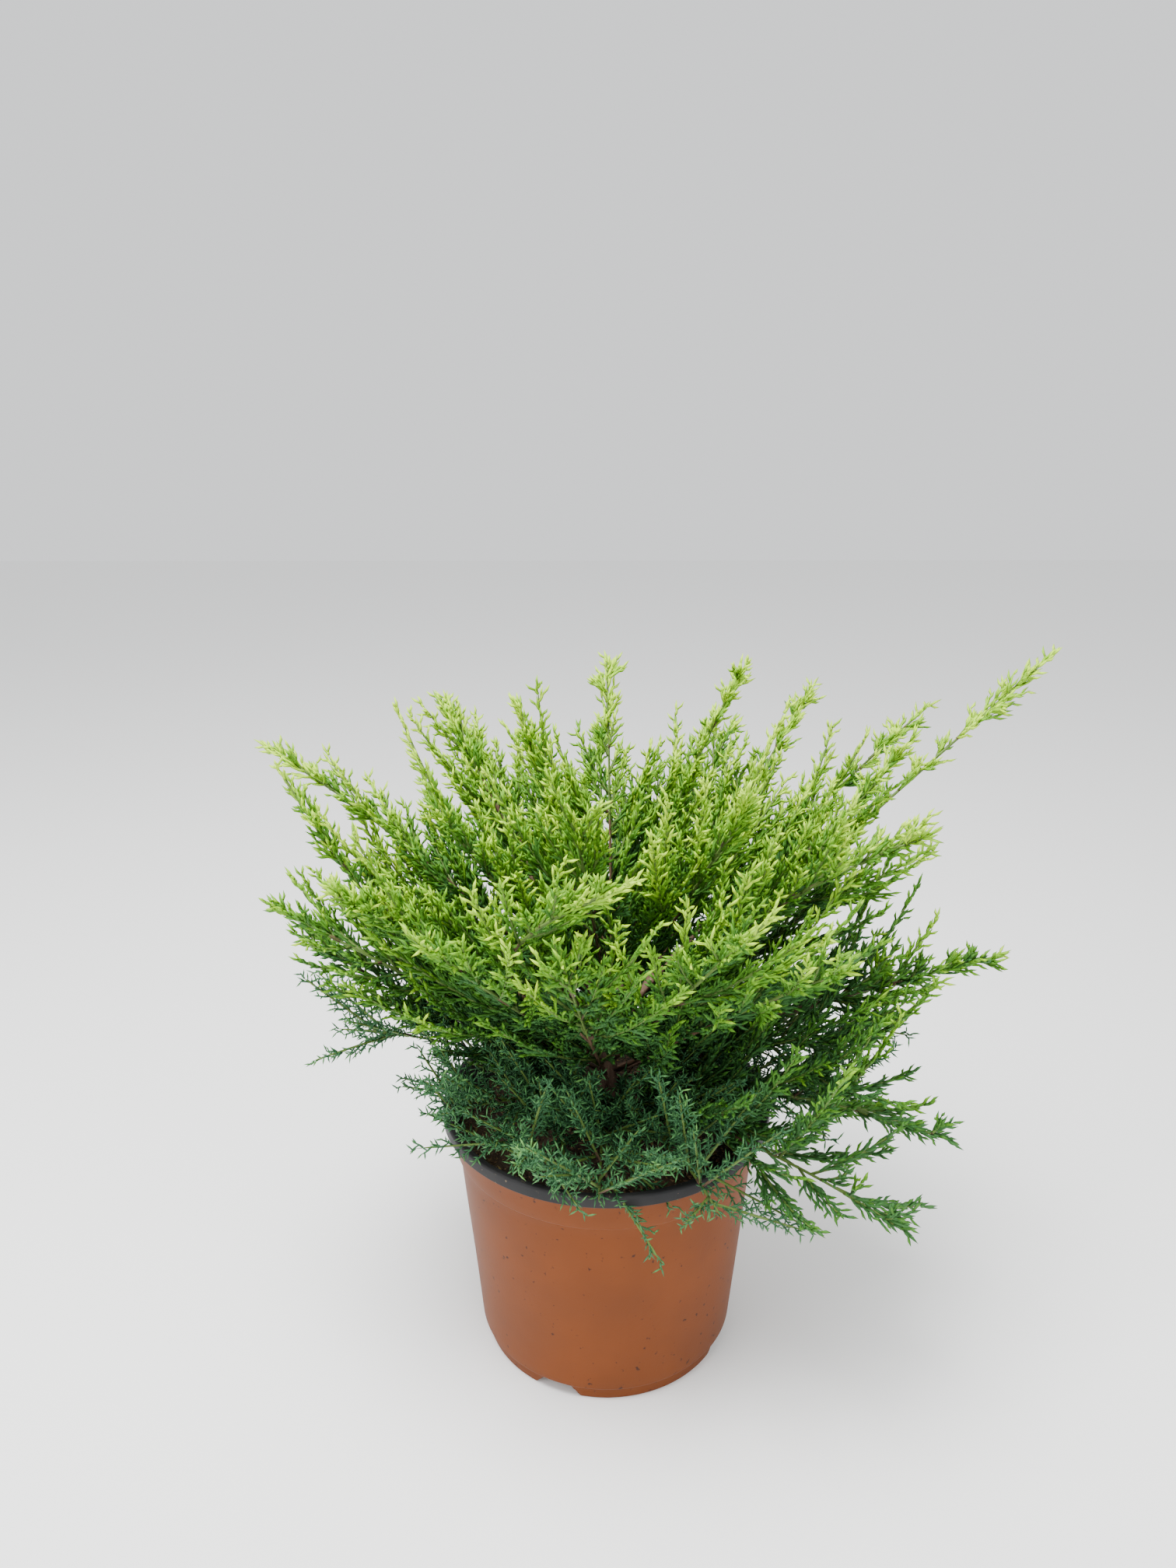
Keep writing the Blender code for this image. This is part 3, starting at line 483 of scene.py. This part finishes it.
limbTable = [
    ("right_long", 6, 0.241, 0.407, 0.188, 0, 0, 0.26),
    ("right_high", 22, 0.205, 0.366, 0.200, 0.05, 0, 0.24),
    ("right_near", -4, 0.160, 0.372, 0.180, -0.04, 0, 0.24),
    ("right_back", 40, 0.165, 0.372, 0.186, 0.02, 0, 0.24),
    ("right_droop", -28, 0.172, 0.342, 0.194, 0.12, 0, 0.22),
    ("top_nodding", 18, 0.080, 0.402, 0.207, 0.02, 0.17, 0.20),
    ("top_upright", 90, 0.062, 0.397, 0.2155, -0.02, 0, 0),
    ("top_middle", 186, 0.046, 0.385, 0.2125, 0, -0.10, 0),
    ("top_left", 148, 0.114, 0.373, 0.204, 0, 0, 0.50),
    ("left_arch", 178, 0.184, 0.360, 0.194, 0.10, 0, 0.24),
    ("left_sweep", -168, 0.170, 0.361, 0.182, -0.34, 0, 0.30),
    ("left_low", -164, 0.180, 0.293, 0.169, -0.02, 0, 0),
    ("left_under", -176, 0.172, 0.259, 0.160, -0.05, 0, 0),
    ("right_bare", -2, 0.219, 0.245, 0.168, 0.03, 0, 0.50),
    ("right_fan", -12, 0.155, 0.208, 0.162, 0.08, 0, 0),
    ("right_sprawl", -20, 0.193, 0.166, 0.155, 0.14, 0, 0),
    ("right_hang", -36, 0.186, 0.142, 0.151, 0.11, 0, 0),
    ("front_arch", -85, 0.151, 0.347, 0.199, 0, -0.52, 0.30),
    ("front_bare", -142, 0.162, 0.320, 0.187, 0.02, 0, 0.60),
    ("front_left", -124, 0.148, 0.305, 0.175, -0.02, 0, 0),
    ("front_mid", -98, 0.140, 0.305, 0.168, -0.05, 0, 0),
    ("front_right", -66, 0.150, 0.315, 0.176, 0, 0, 0),
    ("front_side", -45, 0.160, 0.290, 0.169, 0.02, 0, 0),
    ("back_right", 60, 0.165, 0.340, 0.197, 0.04, 0, 0.22),
    ("back_mid", 92, 0.165, 0.335, 0.188, 0.04, 0, 0),
    ("back_left", 124, 0.168, 0.335, 0.195, 0.04, 0, 0.22),
    ("inner_left", 179, 0.118, 0.278, 0.176, 0, 0, 0),
    ("inner_left_front", -150, 0.100, 0.345, 0.206, 0, 0, 0),
    ("inner_front", -104, 0.066, 0.345, 0.210, 0, 0, 0),
    ("inner_right_front", -40, 0.092, 0.352, 0.209, 0, 0, 0),
    ("inner_right", 8, 0.138, 0.275, 0.176, 0, 0, 0),
    ("inner_back_right", 78, 0.115, 0.270, 0.170, 0, 0, 0),
    ("inner_back_left", 112, 0.115, 0.265, 0.178, 0, 0, 0),
    ("skirt_left", -172, 0.138, 0.203, 0.151, 0.10, 0, 0),
    ("skirt_rim", -148, 0.104, 0.172, 0.148, 0.12, 0, 0),
    ("skirt_front", -122, 0.092, 0.156, 0.146, 0.20, 0, 0),
    ("skirt_mid", -92, 0.100, 0.152, 0.147, 0.20, 0, 0),
    ("skirt_over", -60, 0.116, 0.145, 0.146, 0.22, 0, 0),
    ("skirt_right", -6, 0.138, 0.158, 0.148, 0.16, 0, 0),
    ("skirt_side", 19, 0.145, 0.178, 0.151, 0.12, 0, 0),
    ("skirt_back_right", 48, 0.150, 0.190, 0.151, 0.12, 0, 0),
    ("skirt_back", 95, 0.145, 0.180, 0.149, 0.12, 0, 0),
    ("skirt_back_left", 143, 0.150, 0.195, 0.151, 0.12, 0, 0),
]
trunkSettings = {
    "top": 0.219, "lean": (0.004, 0.002, 0.0), "foot": 0.0110, "neck": 0.0066, "tip": 0.0042, "flare": 0.0045,
    "around": 120, "rows": 150, "relief": 0.0011, "stretch": 5.0, "seed": 61,
    "sunk": 0.0015, "footRows": 1.3, "skin": 0.0003,
}
boughSettings = {
    "root": 0.0023, "end": 0.0016, "around": 20, "rows": 90, "relief": 0.00035, "stretch": 6.0, "seed": 80,
    "sway": 0.0009, "swaySize": 0.02, "swaySeed": 70, "overlap": 0.03,
    "peeled": "front_bare", "peeledAbove": 0.22, "peeledSize": 0.012, "peeledSeed": 9, "peeledOver": 0.25,
}
stemSettings = {"root": 0.0014, "tip": 0.0006, "gap": 0.0003, "sunk": 0.0004}
barkLook = newLook("bark", (0.165, 0.100, 0.062), 0.9, second=(0.085, 0.052, 0.034), speck=(0.30, 0.22, 0.15),
                   scale=1400.0, speckSize=500.0, speckShare=0.34, bump=0.6, depth=0.0004)
peeledLook = newLook("peeledWood", (0.46, 0.31, 0.19), 0.8, second=(0.30, 0.19, 0.11), scale=1100.0, bump=0.4)


def trunkRadius(height):
    # An even taper with a flare that dies away over a few millimetres.
    s = trunkSettings
    over = np.maximum(np.asarray(height, dtype=float) - soilSettings["top"], 0.0)
    taper = np.minimum(over / (s["top"] - soilSettings["top"]), 1.0)
    return s["neck"] + (s["tip"] - s["neck"]) * taper + (s["foot"] - s["neck"]) * np.exp(-over / s["flare"])


def trunkCentre(height):
    # The lean grows with the square of the share of the height.
    height = np.asarray(height, dtype=float)
    share = (height - soilSettings["top"]) / (trunkSettings["top"] - soilSettings["top"])
    return np.array(trunkSettings["lean"]) * (share**2)[..., None] + height[..., None] * upward


def limbCurve(limb):
    # Three points of a quadratic curve: root on the bark, bend lifted by bow and moved by swerve, and tip.
    azimuth, reach, top, rootHeight, bow, swerve, bare = limb[1:]
    angle = math.radians(azimuth)
    out = np.array((math.cos(angle), math.sin(angle), 0.0))
    side = np.array((-math.sin(angle), math.cos(angle), 0.0))
    tip = out * reach + upward * top
    radius = boughSettings["root"] if bare else stemSettings["root"]
    centre, bark = trunkCentre(rootHeight), float(trunkRadius(rootHeight))
    root = centre + out * bark
    bend = (root + tip) / 2 + (upward * bow + side * swerve) * np.linalg.norm(tip - root)
    leaving = (bend - root) / np.linalg.norm(bend - root)
    flat = np.array((leaving[0], leaving[1], 0.0))
    gap = stemSettings["gap"] - stemSettings["sunk"]
    root = centre + flat / np.linalg.norm(flat) * (bark + gap + radius * abs(leaving[2]))
    return np.stack([root, bend, tip])


def onCurve(curves, share):
    # A quadratic curve's point at a share of its way: its three points weighted by (1-t)^2, 2t(1-t) and t^2.
    share = np.asarray(share)[..., None]
    return (curves[..., 0, :] * (1 - share) ** 2 + curves[..., 1, :] * 2 * share * (1 - share)
            + curves[..., 2, :] * share**2)


def headingOn(curves, share):
    # A quadratic curve's direction goes evenly from its first leg's to its second leg's.
    first, second = curves[:, 1] - curves[:, 0], curves[:, 2] - curves[:, 1]
    return unit(first * (1 - share)[:, None] + second * share[:, None])


def barkTube(path, radii, s, seed):
    # Rings square to the path; the bark's ridges are noise stretched along it, deeper where it is thicker.
    rows, around = len(path), s["around"]
    heading = unit(np.gradient(path, axis=0))
    side = unit(np.cross(heading, np.array((0.31, 0.22, 1.0))[None]))  # a leaning helper, parallel to no limb
    over = np.cross(heading, side)
    turn = np.arange(around) * fullTurn / around
    ringOut = side[:, None] * np.cos(turn)[None, :, None] + over[:, None] * np.sin(turn)[None, :, None]
    run = np.concatenate([[0], np.cumsum(np.linalg.norm(np.diff(path, axis=0), axis=1))])
    spots = np.stack([np.cos(turn)[None] * radii[:, None], np.sin(turn)[None] * radii[:, None],
                      np.repeat(run[:, None] / s["stretch"], around, axis=1)], 2).reshape(-1, 3)
    ridgeSize, ridgeLayers, ridgeMiddle = float(radii.max()) * 0.55, 4, 0.3
    ridge = (1 - 2 * np.abs(layeredNoise(spots, ridgeSize, seed, ridgeLayers))).reshape(rows, around)
    body = radii[:, None] + s["relief"] * (ridge - ridgeMiddle) * (radii / radii.max())[:, None]
    rings = path[:, None] + ringOut * body[..., None]
    rootPole, tipPole = path[:1] - heading[:1] * 0.0002, path[-1:] + heading[-1:] * 0.0004
    return np.concatenate([rootPole, rings.reshape(-1, 3), tipPole]), turnedFaces(rows, around)


def makeTrunk(s):
    # A bark tube up the trunk's leaning axis, its rows closer together in the flare.
    foot = soilSettings["top"] - s["sunk"]
    heights = foot + (s["top"] - foot) * np.linspace(0, 1, s["rows"]) ** s["footRows"]
    points, faces = barkTube(trunkCentre(heights), trunkRadius(heights) - s["skin"], s, s["seed"])
    trunk = newPiece("trunk_bark", points, faces, [barkLook])
    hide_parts("trunk")


def makeBoughs(s):
    # A bark tube along each bough's bare share, swaying a little by noise that fades away at both ends.
    corners, faces, looks, nodes, start = [], [], [], [], 0
    for number, limb in enumerate(limbTable):
        name, bare = limb[0], limb[-1]
        if not bare:
            continue
        shares = np.linspace(0, bare + s["overlap"], s["rows"])
        path = onCurve(np.repeat(limbCurve(limb)[None], s["rows"], axis=0), shares)
        sway = np.stack([cellNoise(path + 3.1 * k, s["swaySize"], s["swaySeed"] + number * 3 + k)
                         for k in range(3)], 1)
        path = path + sway * s["sway"] * np.sin(np.linspace(0, math.pi, s["rows"]))[:, None]
        points, tris = barkTube(path, np.linspace(s["root"], s["end"], s["rows"]), s, s["seed"] + number)
        corners.append(points)
        faces.append(tris + start)
        middle = points[tris].mean(axis=1)
        patches = cellNoise(middle, s["peeledSize"], s["peeledSeed"]) > s["peeledOver"]
        looks.append(np.where((name == s["peeled"]) & patches & (middle[:, 2] > s["peeledAbove"]), 1, 0))
        nodes.append("bough_" + name)
        start += len(points)
    boughs = newPiece("bough_bark", np.concatenate(corners), np.concatenate(faces), [barkLook, peeledLook],
                      np.concatenate(looks))
    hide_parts(*nodes)


makeTrunk(trunkSettings)
makeBoughs(boughSettings)
print("trunk and boughs made")


# Foliage: each limb's side shoots, each shoot's branchlets, and each branchlet's cords or needles

# Greens from yellow young tips to dark blue-green, dealt out by height and depth in the crown; the darker ones
# stand partly for painted shade and the lighter ones partly for painted light.
scaleLooks = [newLook(name, colour, 0.6, specular=0.2) for name, colour in (
    ("scaleTip", (0.42, 0.66, 0.030)), ("scaleYellow", (0.24, 0.46, 0.016)),
    ("scaleBright", (0.130, 0.310, 0.012)), ("scaleMid", (0.070, 0.205, 0.012)),
    ("scaleDeep", (0.050, 0.160, 0.018)), ("scaleShade", (0.040, 0.132, 0.030)),
)]
needleLooks = [newLook(name, colour, 0.6, specular=0.2) for name, colour in (
    ("needleTip", (0.110, 0.270, 0.062)), ("needleMid", (0.064, 0.185, 0.058)),
    ("needleBlue", (0.040, 0.128, 0.050)),
)]
twigLook = newLook("twig", (0.125, 0.068, 0.034), 0.8, second=(0.080, 0.045, 0.022), scale=900.0, bump=0.3)
greenTwigLook = newLook("greenTwig", (0.085, 0.150, 0.020), 0.7)

# lowest: the most that a shoot may hang; past: how far a few go over the dome; step: from one to the next
scaleSettings = {
    "needle": False, "looks": scaleLooks, "seed": 101,
    "shoots": 23, "shootLong": 0.098, "forward": 0.72, "sideways": 0.54, "upward": 0.46, "lift": 0.30,
    "lowest": -0.85, "past": 0.09,
    "branchStep": 0.0031, "branchLong": 0.021, "branchAngle": 34.0, "branchRadius": 0.00095,
    "leafStep": 0.0034, "leafLong": 0.0080, "leafAngle": 31.0, "leafRadius": 0.00088,
    "leafShorter": 0.35, "leafCurve": 0.35,
}
needleSettings = {
    "needle": True, "looks": needleLooks, "seed": 202,
    "shoots": 28, "shootLong": 0.070, "forward": 0.62, "sideways": 0.76, "upward": 0.80, "lift": -0.02,
    "lowest": -0.30, "past": 0.30,
    "branchStep": 0.0042, "branchLong": 0.017, "branchAngle": 45.0, "branchRadius": 0.0006,
    "leafStep": 0.0014, "leafLong": 0.0046, "leafAngle": 52.0, "leafRadius": 0.00052,
    "leafShorter": 0.0, "leafCurve": 0.0,
}
growthSettings = {
    # Where shoots stand on a limb, and how much they differ.
    "firstShare": 0.10, "afterBough": 0.02, "lastShare": 0.95, "nearRoot": 1.30, "shootStand": (0.1, 0.9),
    "levelRise": 1.7, "steepRise": 1.5, "highest": 1.6, "apart": (0.35, 1.35), "full": (0.62, 1.16),
    "dome": 0.94, "shortest": 0.32, "endFrom": 0.80, "endAfterBough": 0.2,
    # Branchlets on a shoot, and cords or needles on a branchlet.
    "stand": (0.2, 0.8), "branchFrom": 0.06, "branchSpan": 0.93, "leafFrom": 0.12, "leafSpan": 0.84,
    "fewestBranchlets": 6, "shootRoll": 0.9, "branchRoll": 0.55, "branchAngle": (0.75, 1.25),
    "branchLong": (0.7, 1.2), "branchOutline": ((0, 0.25, 0.6, 1.0), (0.70, 1.0, 0.60, 0.22)),
    "branchLeast": 0.45, "branchPower": 0.6, "branchCurve": 0.45,
    "fewestLeaves": 2, "leafRoll": 0.5, "needleRoll": 0.4, "needleTurn": 2.1, "leafVary": (0.7, 1.25),
}
domeSettings = {"centre": (0.004, 0.0, 0.200), "radii": (0.158, 0.146, 0.146), "power": 3.0}
fullness = ((0.0, 0.25, 0.55, 0.80, 1.05, 1.35), (0.70, 0.85, 1.00, 0.90, 0.34, 0.20))  # by dome share


def domeShare(places):
    # How far out a place is, from 0 in the middle of the crown's dome to 1 on it, by a superellipse.
    over = np.abs(places - np.array(domeSettings["centre"]))
    level = np.hypot(over[:, 0] / domeSettings["radii"][0], over[:, 1] / domeSettings["radii"][1])
    power = domeSettings["power"]
    return (level**power + (over[:, 2] / domeSettings["radii"][2]) ** power) ** (1 / power)


def curvesFrom(root, knee, way, long):
    # A quadratic curve sets out along its knee direction and ends its length away along another.
    return np.stack([root, root + knee * long[:, None] * 0.5, root + way * long[:, None]], 1)


def ranked(numbers):
    # For owners with so many members each: every member's owner, and its rank among them.
    return np.repeat(np.arange(len(numbers)), numbers), np.concatenate([np.arange(n) for n in numbers])


def growShoots(limbs, curves, s, random):
    # Shoots leave a limb by turns to both sides, lean forwards and up, and bend at their ends by their lift.
    g = growthSettings
    bare = np.array([limb[-1] for limb in limbs])
    owner, order = ranked(np.full(len(limbs), s["shoots"]))
    count = len(owner)
    begin = np.where(bare > 0, bare + g["afterBough"], g["firstShare"])[owner]
    step = (order + random.uniform(*g["shootStand"], count)) / s["shoots"]
    share = begin + (g["lastShare"] - begin) * step ** g["nearRoot"]
    root = onCurve(curves[owner], share)
    forward = headingOn(curves[owner], share)
    lateral = unit(np.cross(forward, upward)) * np.where(order % 2 == 0, 1.0, -1.0)[:, None]
    steep = g["levelRise"] - g["steepRise"] * np.maximum(forward[:, 2], 0)  # a climbing limb needs less rise
    rise = s["upward"] * steep * random.uniform(s["lowest"], g["highest"], count)
    apart = s["sideways"] * random.uniform(*g["apart"], count)
    rootShare = domeShare(root)
    long = s["shootLong"] * (np.interp(rootShare, *fullness) * random.uniform(*g["full"], count))
    way = unit(forward * s["forward"] + lateral * apart[:, None] + upward * rise[:, None])
    # Most shoots stop near the dome; a few go past it, as the thin tips over the crown do.
    endShare = domeShare(root + (way + upward * s["lift"]) * long[:, None])
    limit = g["dome"] + random.exponential(s["past"], count)
    cut = (limit - rootShare) / np.maximum(endShare - rootShare, 1e-4)
    long = long * np.where(endShare > limit, np.clip(cut, g["shortest"], 1.0), 1.0)
    # The limb's own end goes on as one more shoot.
    endRoot = onCurve(curves, np.maximum(g["endFrom"], bare + g["endAfterBough"]))
    endWay = curves[:, 2] - endRoot
    endLong = np.linalg.norm(endWay, axis=1)
    sides = curvesFrom(root, way, way + upward * s["lift"], long)
    ends = curvesFrom(endRoot, unit(endWay), unit(endWay), endLong)
    owner = np.concatenate([owner, np.arange(len(limbs))])
    return np.concatenate([sides, ends]), np.concatenate([long, endLong]), owner


def growBranchlets(shoots, shootLong, s, random):
    # One each step along a shoot, left and right by turns, longest a quarter of the way up, curving forwards.
    g = growthSettings
    number = np.maximum((shootLong / s["branchStep"]).astype(int), g["fewestBranchlets"])
    parent, rank = ranked(number)
    count = len(parent)
    place = g["branchFrom"] + g["branchSpan"] * (rank + random.uniform(*g["stand"], count)) / number[parent]
    base = onCurve(shoots[parent], place)
    axis = headingOn(shoots[parent], place)
    shootRoll = random.uniform(-g["shootRoll"], g["shootRoll"], len(shoots))[parent]
    flat = unit(np.cross(axis, upward) + 1e-6)
    over = np.cross(flat, axis)
    roll = shootRoll + np.where(rank % 2 == 0, 0.0, math.pi) + random.normal(0, g["branchRoll"], count)
    outward = flat * np.cos(roll)[:, None] + over * np.sin(roll)[:, None]
    angle = np.radians(s["branchAngle"]) * random.uniform(*g["branchAngle"], count)
    way = unit(axis * np.cos(angle)[:, None] + outward * np.sin(angle)[:, None])
    vary = random.uniform(*g["branchLong"], count)
    byShoot = np.clip(shootLong / s["shootLong"], g["branchLeast"], 1)[parent] ** g["branchPower"]
    long = s["branchLong"] * np.interp(place, *g["branchOutline"]) * vary * byShoot
    branches = curvesFrom(base, way, unit(way + axis * g["branchCurve"]), long)
    return branches, long, axis, parent, place


def growLeaves(branches, branchLong, branchAxis, s, random):
    # Scale cords stand left and right by turns and needles go round in a spiral; both lean towards the tip.
    g = growthSettings
    number = np.maximum((branchLong / s["leafStep"]).astype(int), g["fewestLeaves"])
    parent, rank = ranked(number)
    count = len(parent)
    place = g["leafFrom"] + g["leafSpan"] * (rank + random.uniform(*g["stand"], count)) / number[parent]
    root = onCurve(branches[parent], place)
    axis = unit(branches[parent, 2] - branches[parent, 0])
    flat = unit(np.cross(axis, branchAxis[parent]) + 1e-6)
    over = np.cross(flat, axis)
    if s["needle"]:
        roll = rank * g["needleTurn"] + random.uniform(-g["needleRoll"], g["needleRoll"], count)
    else:
        roll = math.pi / 2 + np.where(rank % 2 == 0, 0.0, math.pi) + random.normal(0, g["leafRoll"], count)
    outward = flat * np.cos(roll)[:, None] + over * np.sin(roll)[:, None]
    tilt = np.radians(s["leafAngle"]) * random.uniform(*g["leafVary"], count)
    way = unit(axis * np.cos(tilt)[:, None] + outward * np.sin(tilt)[:, None])
    long = s["leafLong"] * random.uniform(*g["leafVary"], count) * (1 - s["leafShorter"] * place)
    return curvesFrom(root, way, unit(way + axis * s["leafCurve"]), long), parent, place


def tubes(paths, radii, seed):
    # Three-sided tubes: rings at all points but the last, one closing triangle at the root, a point at the tip.
    count, rows = paths.shape[:2]
    heading = unit(np.gradient(paths, axis=1))
    turn = np.random.default_rng(seed).uniform(0, fullTurn, count)
    helper = np.where(np.abs(heading[:, :1, 2:]) > 0.9, np.array((1.0, 0.0, 0.0)), upward)
    side = unit(np.cross(heading, helper))
    over = np.cross(heading, side)
    angle = (turn[:, None] + np.arange(3)[None] * fullTurn / 3)[:, None, :, None]
    ringOut = side[:, :-1, None] * np.cos(angle) + over[:, :-1, None] * np.sin(angle)
    rings = paths[:, :-1, None] + ringOut * np.asarray(radii)[None, :, None, None]
    points = np.concatenate([rings.reshape(count, -1, 3), paths[:, -1:]], axis=1)
    faces = [(0, 2, 1)]
    for row in range(rows - 2):
        for k in range(3):
            a, b = row * 3 + k, row * 3 + (k + 1) % 3
            faces += [(a, b, b + 3), (a, b + 3, a + 3)]
    last = (rows - 2) * 3
    faces += [(last + k, last + (k + 1) % 3, last + 3) for k in range(3)]
    starts = (last + 4) * np.arange(count)[:, None, None]
    return points.reshape(-1, 3), (np.array(faces)[None] + starts).reshape(-1, 3), len(faces)


def sampled(curves, shares):
    # Points of each quadratic curve at the same shares.
    return np.stack([onCurve(curves, np.full(len(curves), share)) for share in shares], 1)


# A spray's green by height, depth in the crown and place on its shoot: partly its own colour, partly painted
# light and shade.
tintAndPaintedLightSettings = {
    "lowest": 0.15, "rise": 0.24, "byHeight": 0.82, "byPlace": 0.30, "byDome": 0.25, "dome": 0.8,
    "furthest": 1.5, "shootMood": 0.10, "sprayMood": 0.07, "lightest": 1.06, "leafTip": 0.7,
}


def sprayShadesWithPaintedLight(branches, place, parent, shoots, s):
    # A spray's shade: nearer its shoot's tip is yellower, as young growth is; higher and further out is lighter
    # and low and deep is darker, partly the plant's own greens and partly painted light and shade.
    h = tintAndPaintedLightSettings
    kinds = len(s["looks"])
    random = np.random.default_rng(s["seed"] + 1)
    middle = branches[:, 1]
    out = np.clip(domeShare(middle), 0, h["furthest"])
    high = (middle[:, 2] - h["lowest"]) / h["rise"]
    # Painted light and shade on top of the plant's own greens: lighter high up and far out on the dome, darker
    # low and deep inside.
    light = h["byHeight"] * high + h["byPlace"] * (place - 0.5) + h["byDome"] * (out - h["dome"])
    light = light + random.normal(0, h["shootMood"], shoots)[parent]
    light = light + random.normal(0, h["sprayMood"], len(middle))
    return np.clip(((h["lightest"] - light) * kinds).astype(int), 0, kinds - 1)


pieceSettings = {
    "mostTriangles": 185000, "branchShares": (0, 0.35, 0.72, 1.0), "branchRings": (0.9, 1.0, 0.8),
    "leafRings": (0.7, 1.0), "stemRows": 14, "stemEnd": 0.97, "shootRows": 8, "shootRadii": (0.0010, 0.0005),
    "stemGreenFrom": 0.55, "shootGreenFrom": 0.05, "stemSeed": 5, "shootSeed": 6,
}


def addFoliage(limbs, s, label):
    # Limbs in a row are joined into one piece while its triangles stay under the limit; a spray has one shade.
    p = pieceSettings
    random = np.random.default_rng(s["seed"])
    curves = np.stack([limbCurve(limb) for limb in limbs])
    shoots, shootLong, shootOwner = growShoots(limbs, curves, s, random)
    branches, branchLong, branchAxis, branchParent, branchPlace = growBranchlets(shoots, shootLong, s, random)
    leaves, leafParent, leafPlace = growLeaves(branches, branchLong, branchAxis, s, random)
    # Each spray's green, with painted light and shade by height and depth in the crown.
    branchShade = sprayShadesWithPaintedLight(branches, branchPlace, branchParent, len(shoots), s)
    leafShade = np.maximum(branchShade[leafParent] - (leafPlace > tintAndPaintedLightSettings["leafTip"]), 0)
    branchOwner = shootOwner[branchParent]
    leafOwner = branchOwner[leafParent]
    branchSize, leafSize = 16, 10  # triangles in a branchlet and in a cord or needle
    perLimb = (np.bincount(branchOwner, minlength=len(limbs)) * branchSize
               + np.bincount(leafOwner, minlength=len(limbs)) * leafSize)
    batches, size = [[]], 0
    for number, triangles in enumerate(perLimb):
        if batches[-1] and size + triangles > p["mostTriangles"]:
            batches.append([])
            size = 0
        batches[-1].append(number)
        size += triangles
    for index, batch in enumerate(batches):
        mineBranch, mineLeaf = np.isin(branchOwner, batch), np.isin(leafOwner, batch)
        branchPoints, branchFaces, perBranch = tubes(
            sampled(branches[mineBranch], p["branchShares"]), s["branchRadius"] * np.array(p["branchRings"]),
            s["seed"] + 2)
        leafPoints, leafFaces, perLeaf = tubes(
            leaves[mineLeaf], s["leafRadius"] * np.array(p["leafRings"]), s["seed"] + 3)
        piece = newPiece(f"{label}_{index + 1:02d}", np.concatenate([branchPoints, leafPoints]),
                         np.concatenate([branchFaces, leafFaces + len(branchPoints)]), s["looks"],
                         np.concatenate([np.repeat(branchShade[mineBranch], perBranch),
                                         np.repeat(leafShade[mineLeaf], perLeaf)]))
        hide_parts(*["foliage_" + limbs[number][0] for number in batch])
        print(piece.name, len(piece.data.polygons))
    return limbs, curves, shoots


def addStems(parts):
    # The limbs' stems beyond their bare boughs, and the shoots' stems, are tapering twigs with green ends.
    p = pieceSettings
    points, faces, looks, start = [], [], [], 0
    for limbs, curves, shoots in parts:
        bare = np.array([limb[-1] for limb in limbs], dtype=float)
        shares = bare[:, None] + (p["stemEnd"] - bare)[:, None] * np.linspace(0, 1, p["stemRows"])[None]
        stems = np.stack([onCurve(curves, share) for share in shares.T], 1)
        stemRadii = np.linspace(stemSettings["root"], stemSettings["tip"], p["stemRows"])[:-1]
        shootRadii = np.linspace(*p["shootRadii"], p["shootRows"])[:-1]
        twigs = sampled(shoots, np.linspace(0, 1, p["shootRows"]))
        for made, greenFrom in ((tubes(stems, stemRadii, p["stemSeed"]), p["stemGreenFrom"]),
                                (tubes(twigs, shootRadii, p["shootSeed"]), p["shootGreenFrom"])):
            corners, tris, perTwig = made
            points.append(corners)
            faces.append(tris + start)
            looks.append(np.tile(np.arange(perTwig) > perTwig * greenFrom, len(tris) // perTwig).astype(int))
            start += len(corners)
    twigs = newPiece("twigs", np.concatenate(points), np.concatenate(faces), [twigLook, greenTwigLook],
                     np.concatenate(looks))


scaleLimbs = [limb for limb in limbTable if not limb[0].startswith("skirt")]
needleLimbs = [limb for limb in limbTable if limb[0].startswith("skirt")]
addStems([addFoliage(scaleLimbs, scaleSettings, "scale_sprays"),
          addFoliage(needleLimbs, needleSettings, "needle_sprays")])


# Stage: a pale floor, soft lights and a pale surrounding

stageSettings = {
    "floorSide": 4.0, "floorColour": (0.90, 0.90, 0.89), "floorRoughness": 0.8,
    "sky": (0.97, 0.985, 1.0, 1.0), "skyStrength": 1.15, "lookAt": (0, 0, 0.2),
    "lights": (  # name, place, size in metres, power in watts
        ("overhead", (-0.25, -0.3, 1.5), 0.7, 48.0),
        ("leftFill", (-1.4, -0.9, 0.9), 1.2, 12.0),
        ("rightFill", (1.3, -0.7, 0.8), 1.2, 8.0),
        ("frontFill", (0.1, -1.5, 0.45), 1.0, 5.0),
    ),
}


def makeStage(s):
    # A flat square floor at height 0, a plain sky, and square lights that face the plant.
    side = s["floorSide"]
    floorMesh = bpy.data.meshes.new("floor")
    corners = [(-side, -side, 0), (side, -side, 0), (side, side, 0), (-side, side, 0)]
    floorMesh.from_pydata(corners, [], [(0, 1, 2, 3)])
    floorMesh.materials.append(newLook("paleFloor", s["floorColour"], s["floorRoughness"]))
    floor = bpy.data.objects.new("floor", floorMesh)
    scene.collection.objects.link(floor)
    world = bpy.data.worlds.new("paleRoom")
    world.use_nodes = True
    background = world.node_tree.nodes["Background"]
    background.inputs["Color"].default_value = s["sky"]
    background.inputs["Strength"].default_value = s["skyStrength"]
    scene.world = world
    for name, place, size, power in s["lights"]:
        lamp = bpy.data.lights.new(name, "AREA")
        lamp.size = size
        lamp.energy = power
        light = bpy.data.objects.new(name, lamp)
        light.location = place
        light.rotation_euler = (Vector(s["lookAt"]) - Vector(place)).to_track_quat("-Z", "Y").to_euler()
        scene.collection.objects.link(light)


makeStage(stageSettings)
print("stage made")
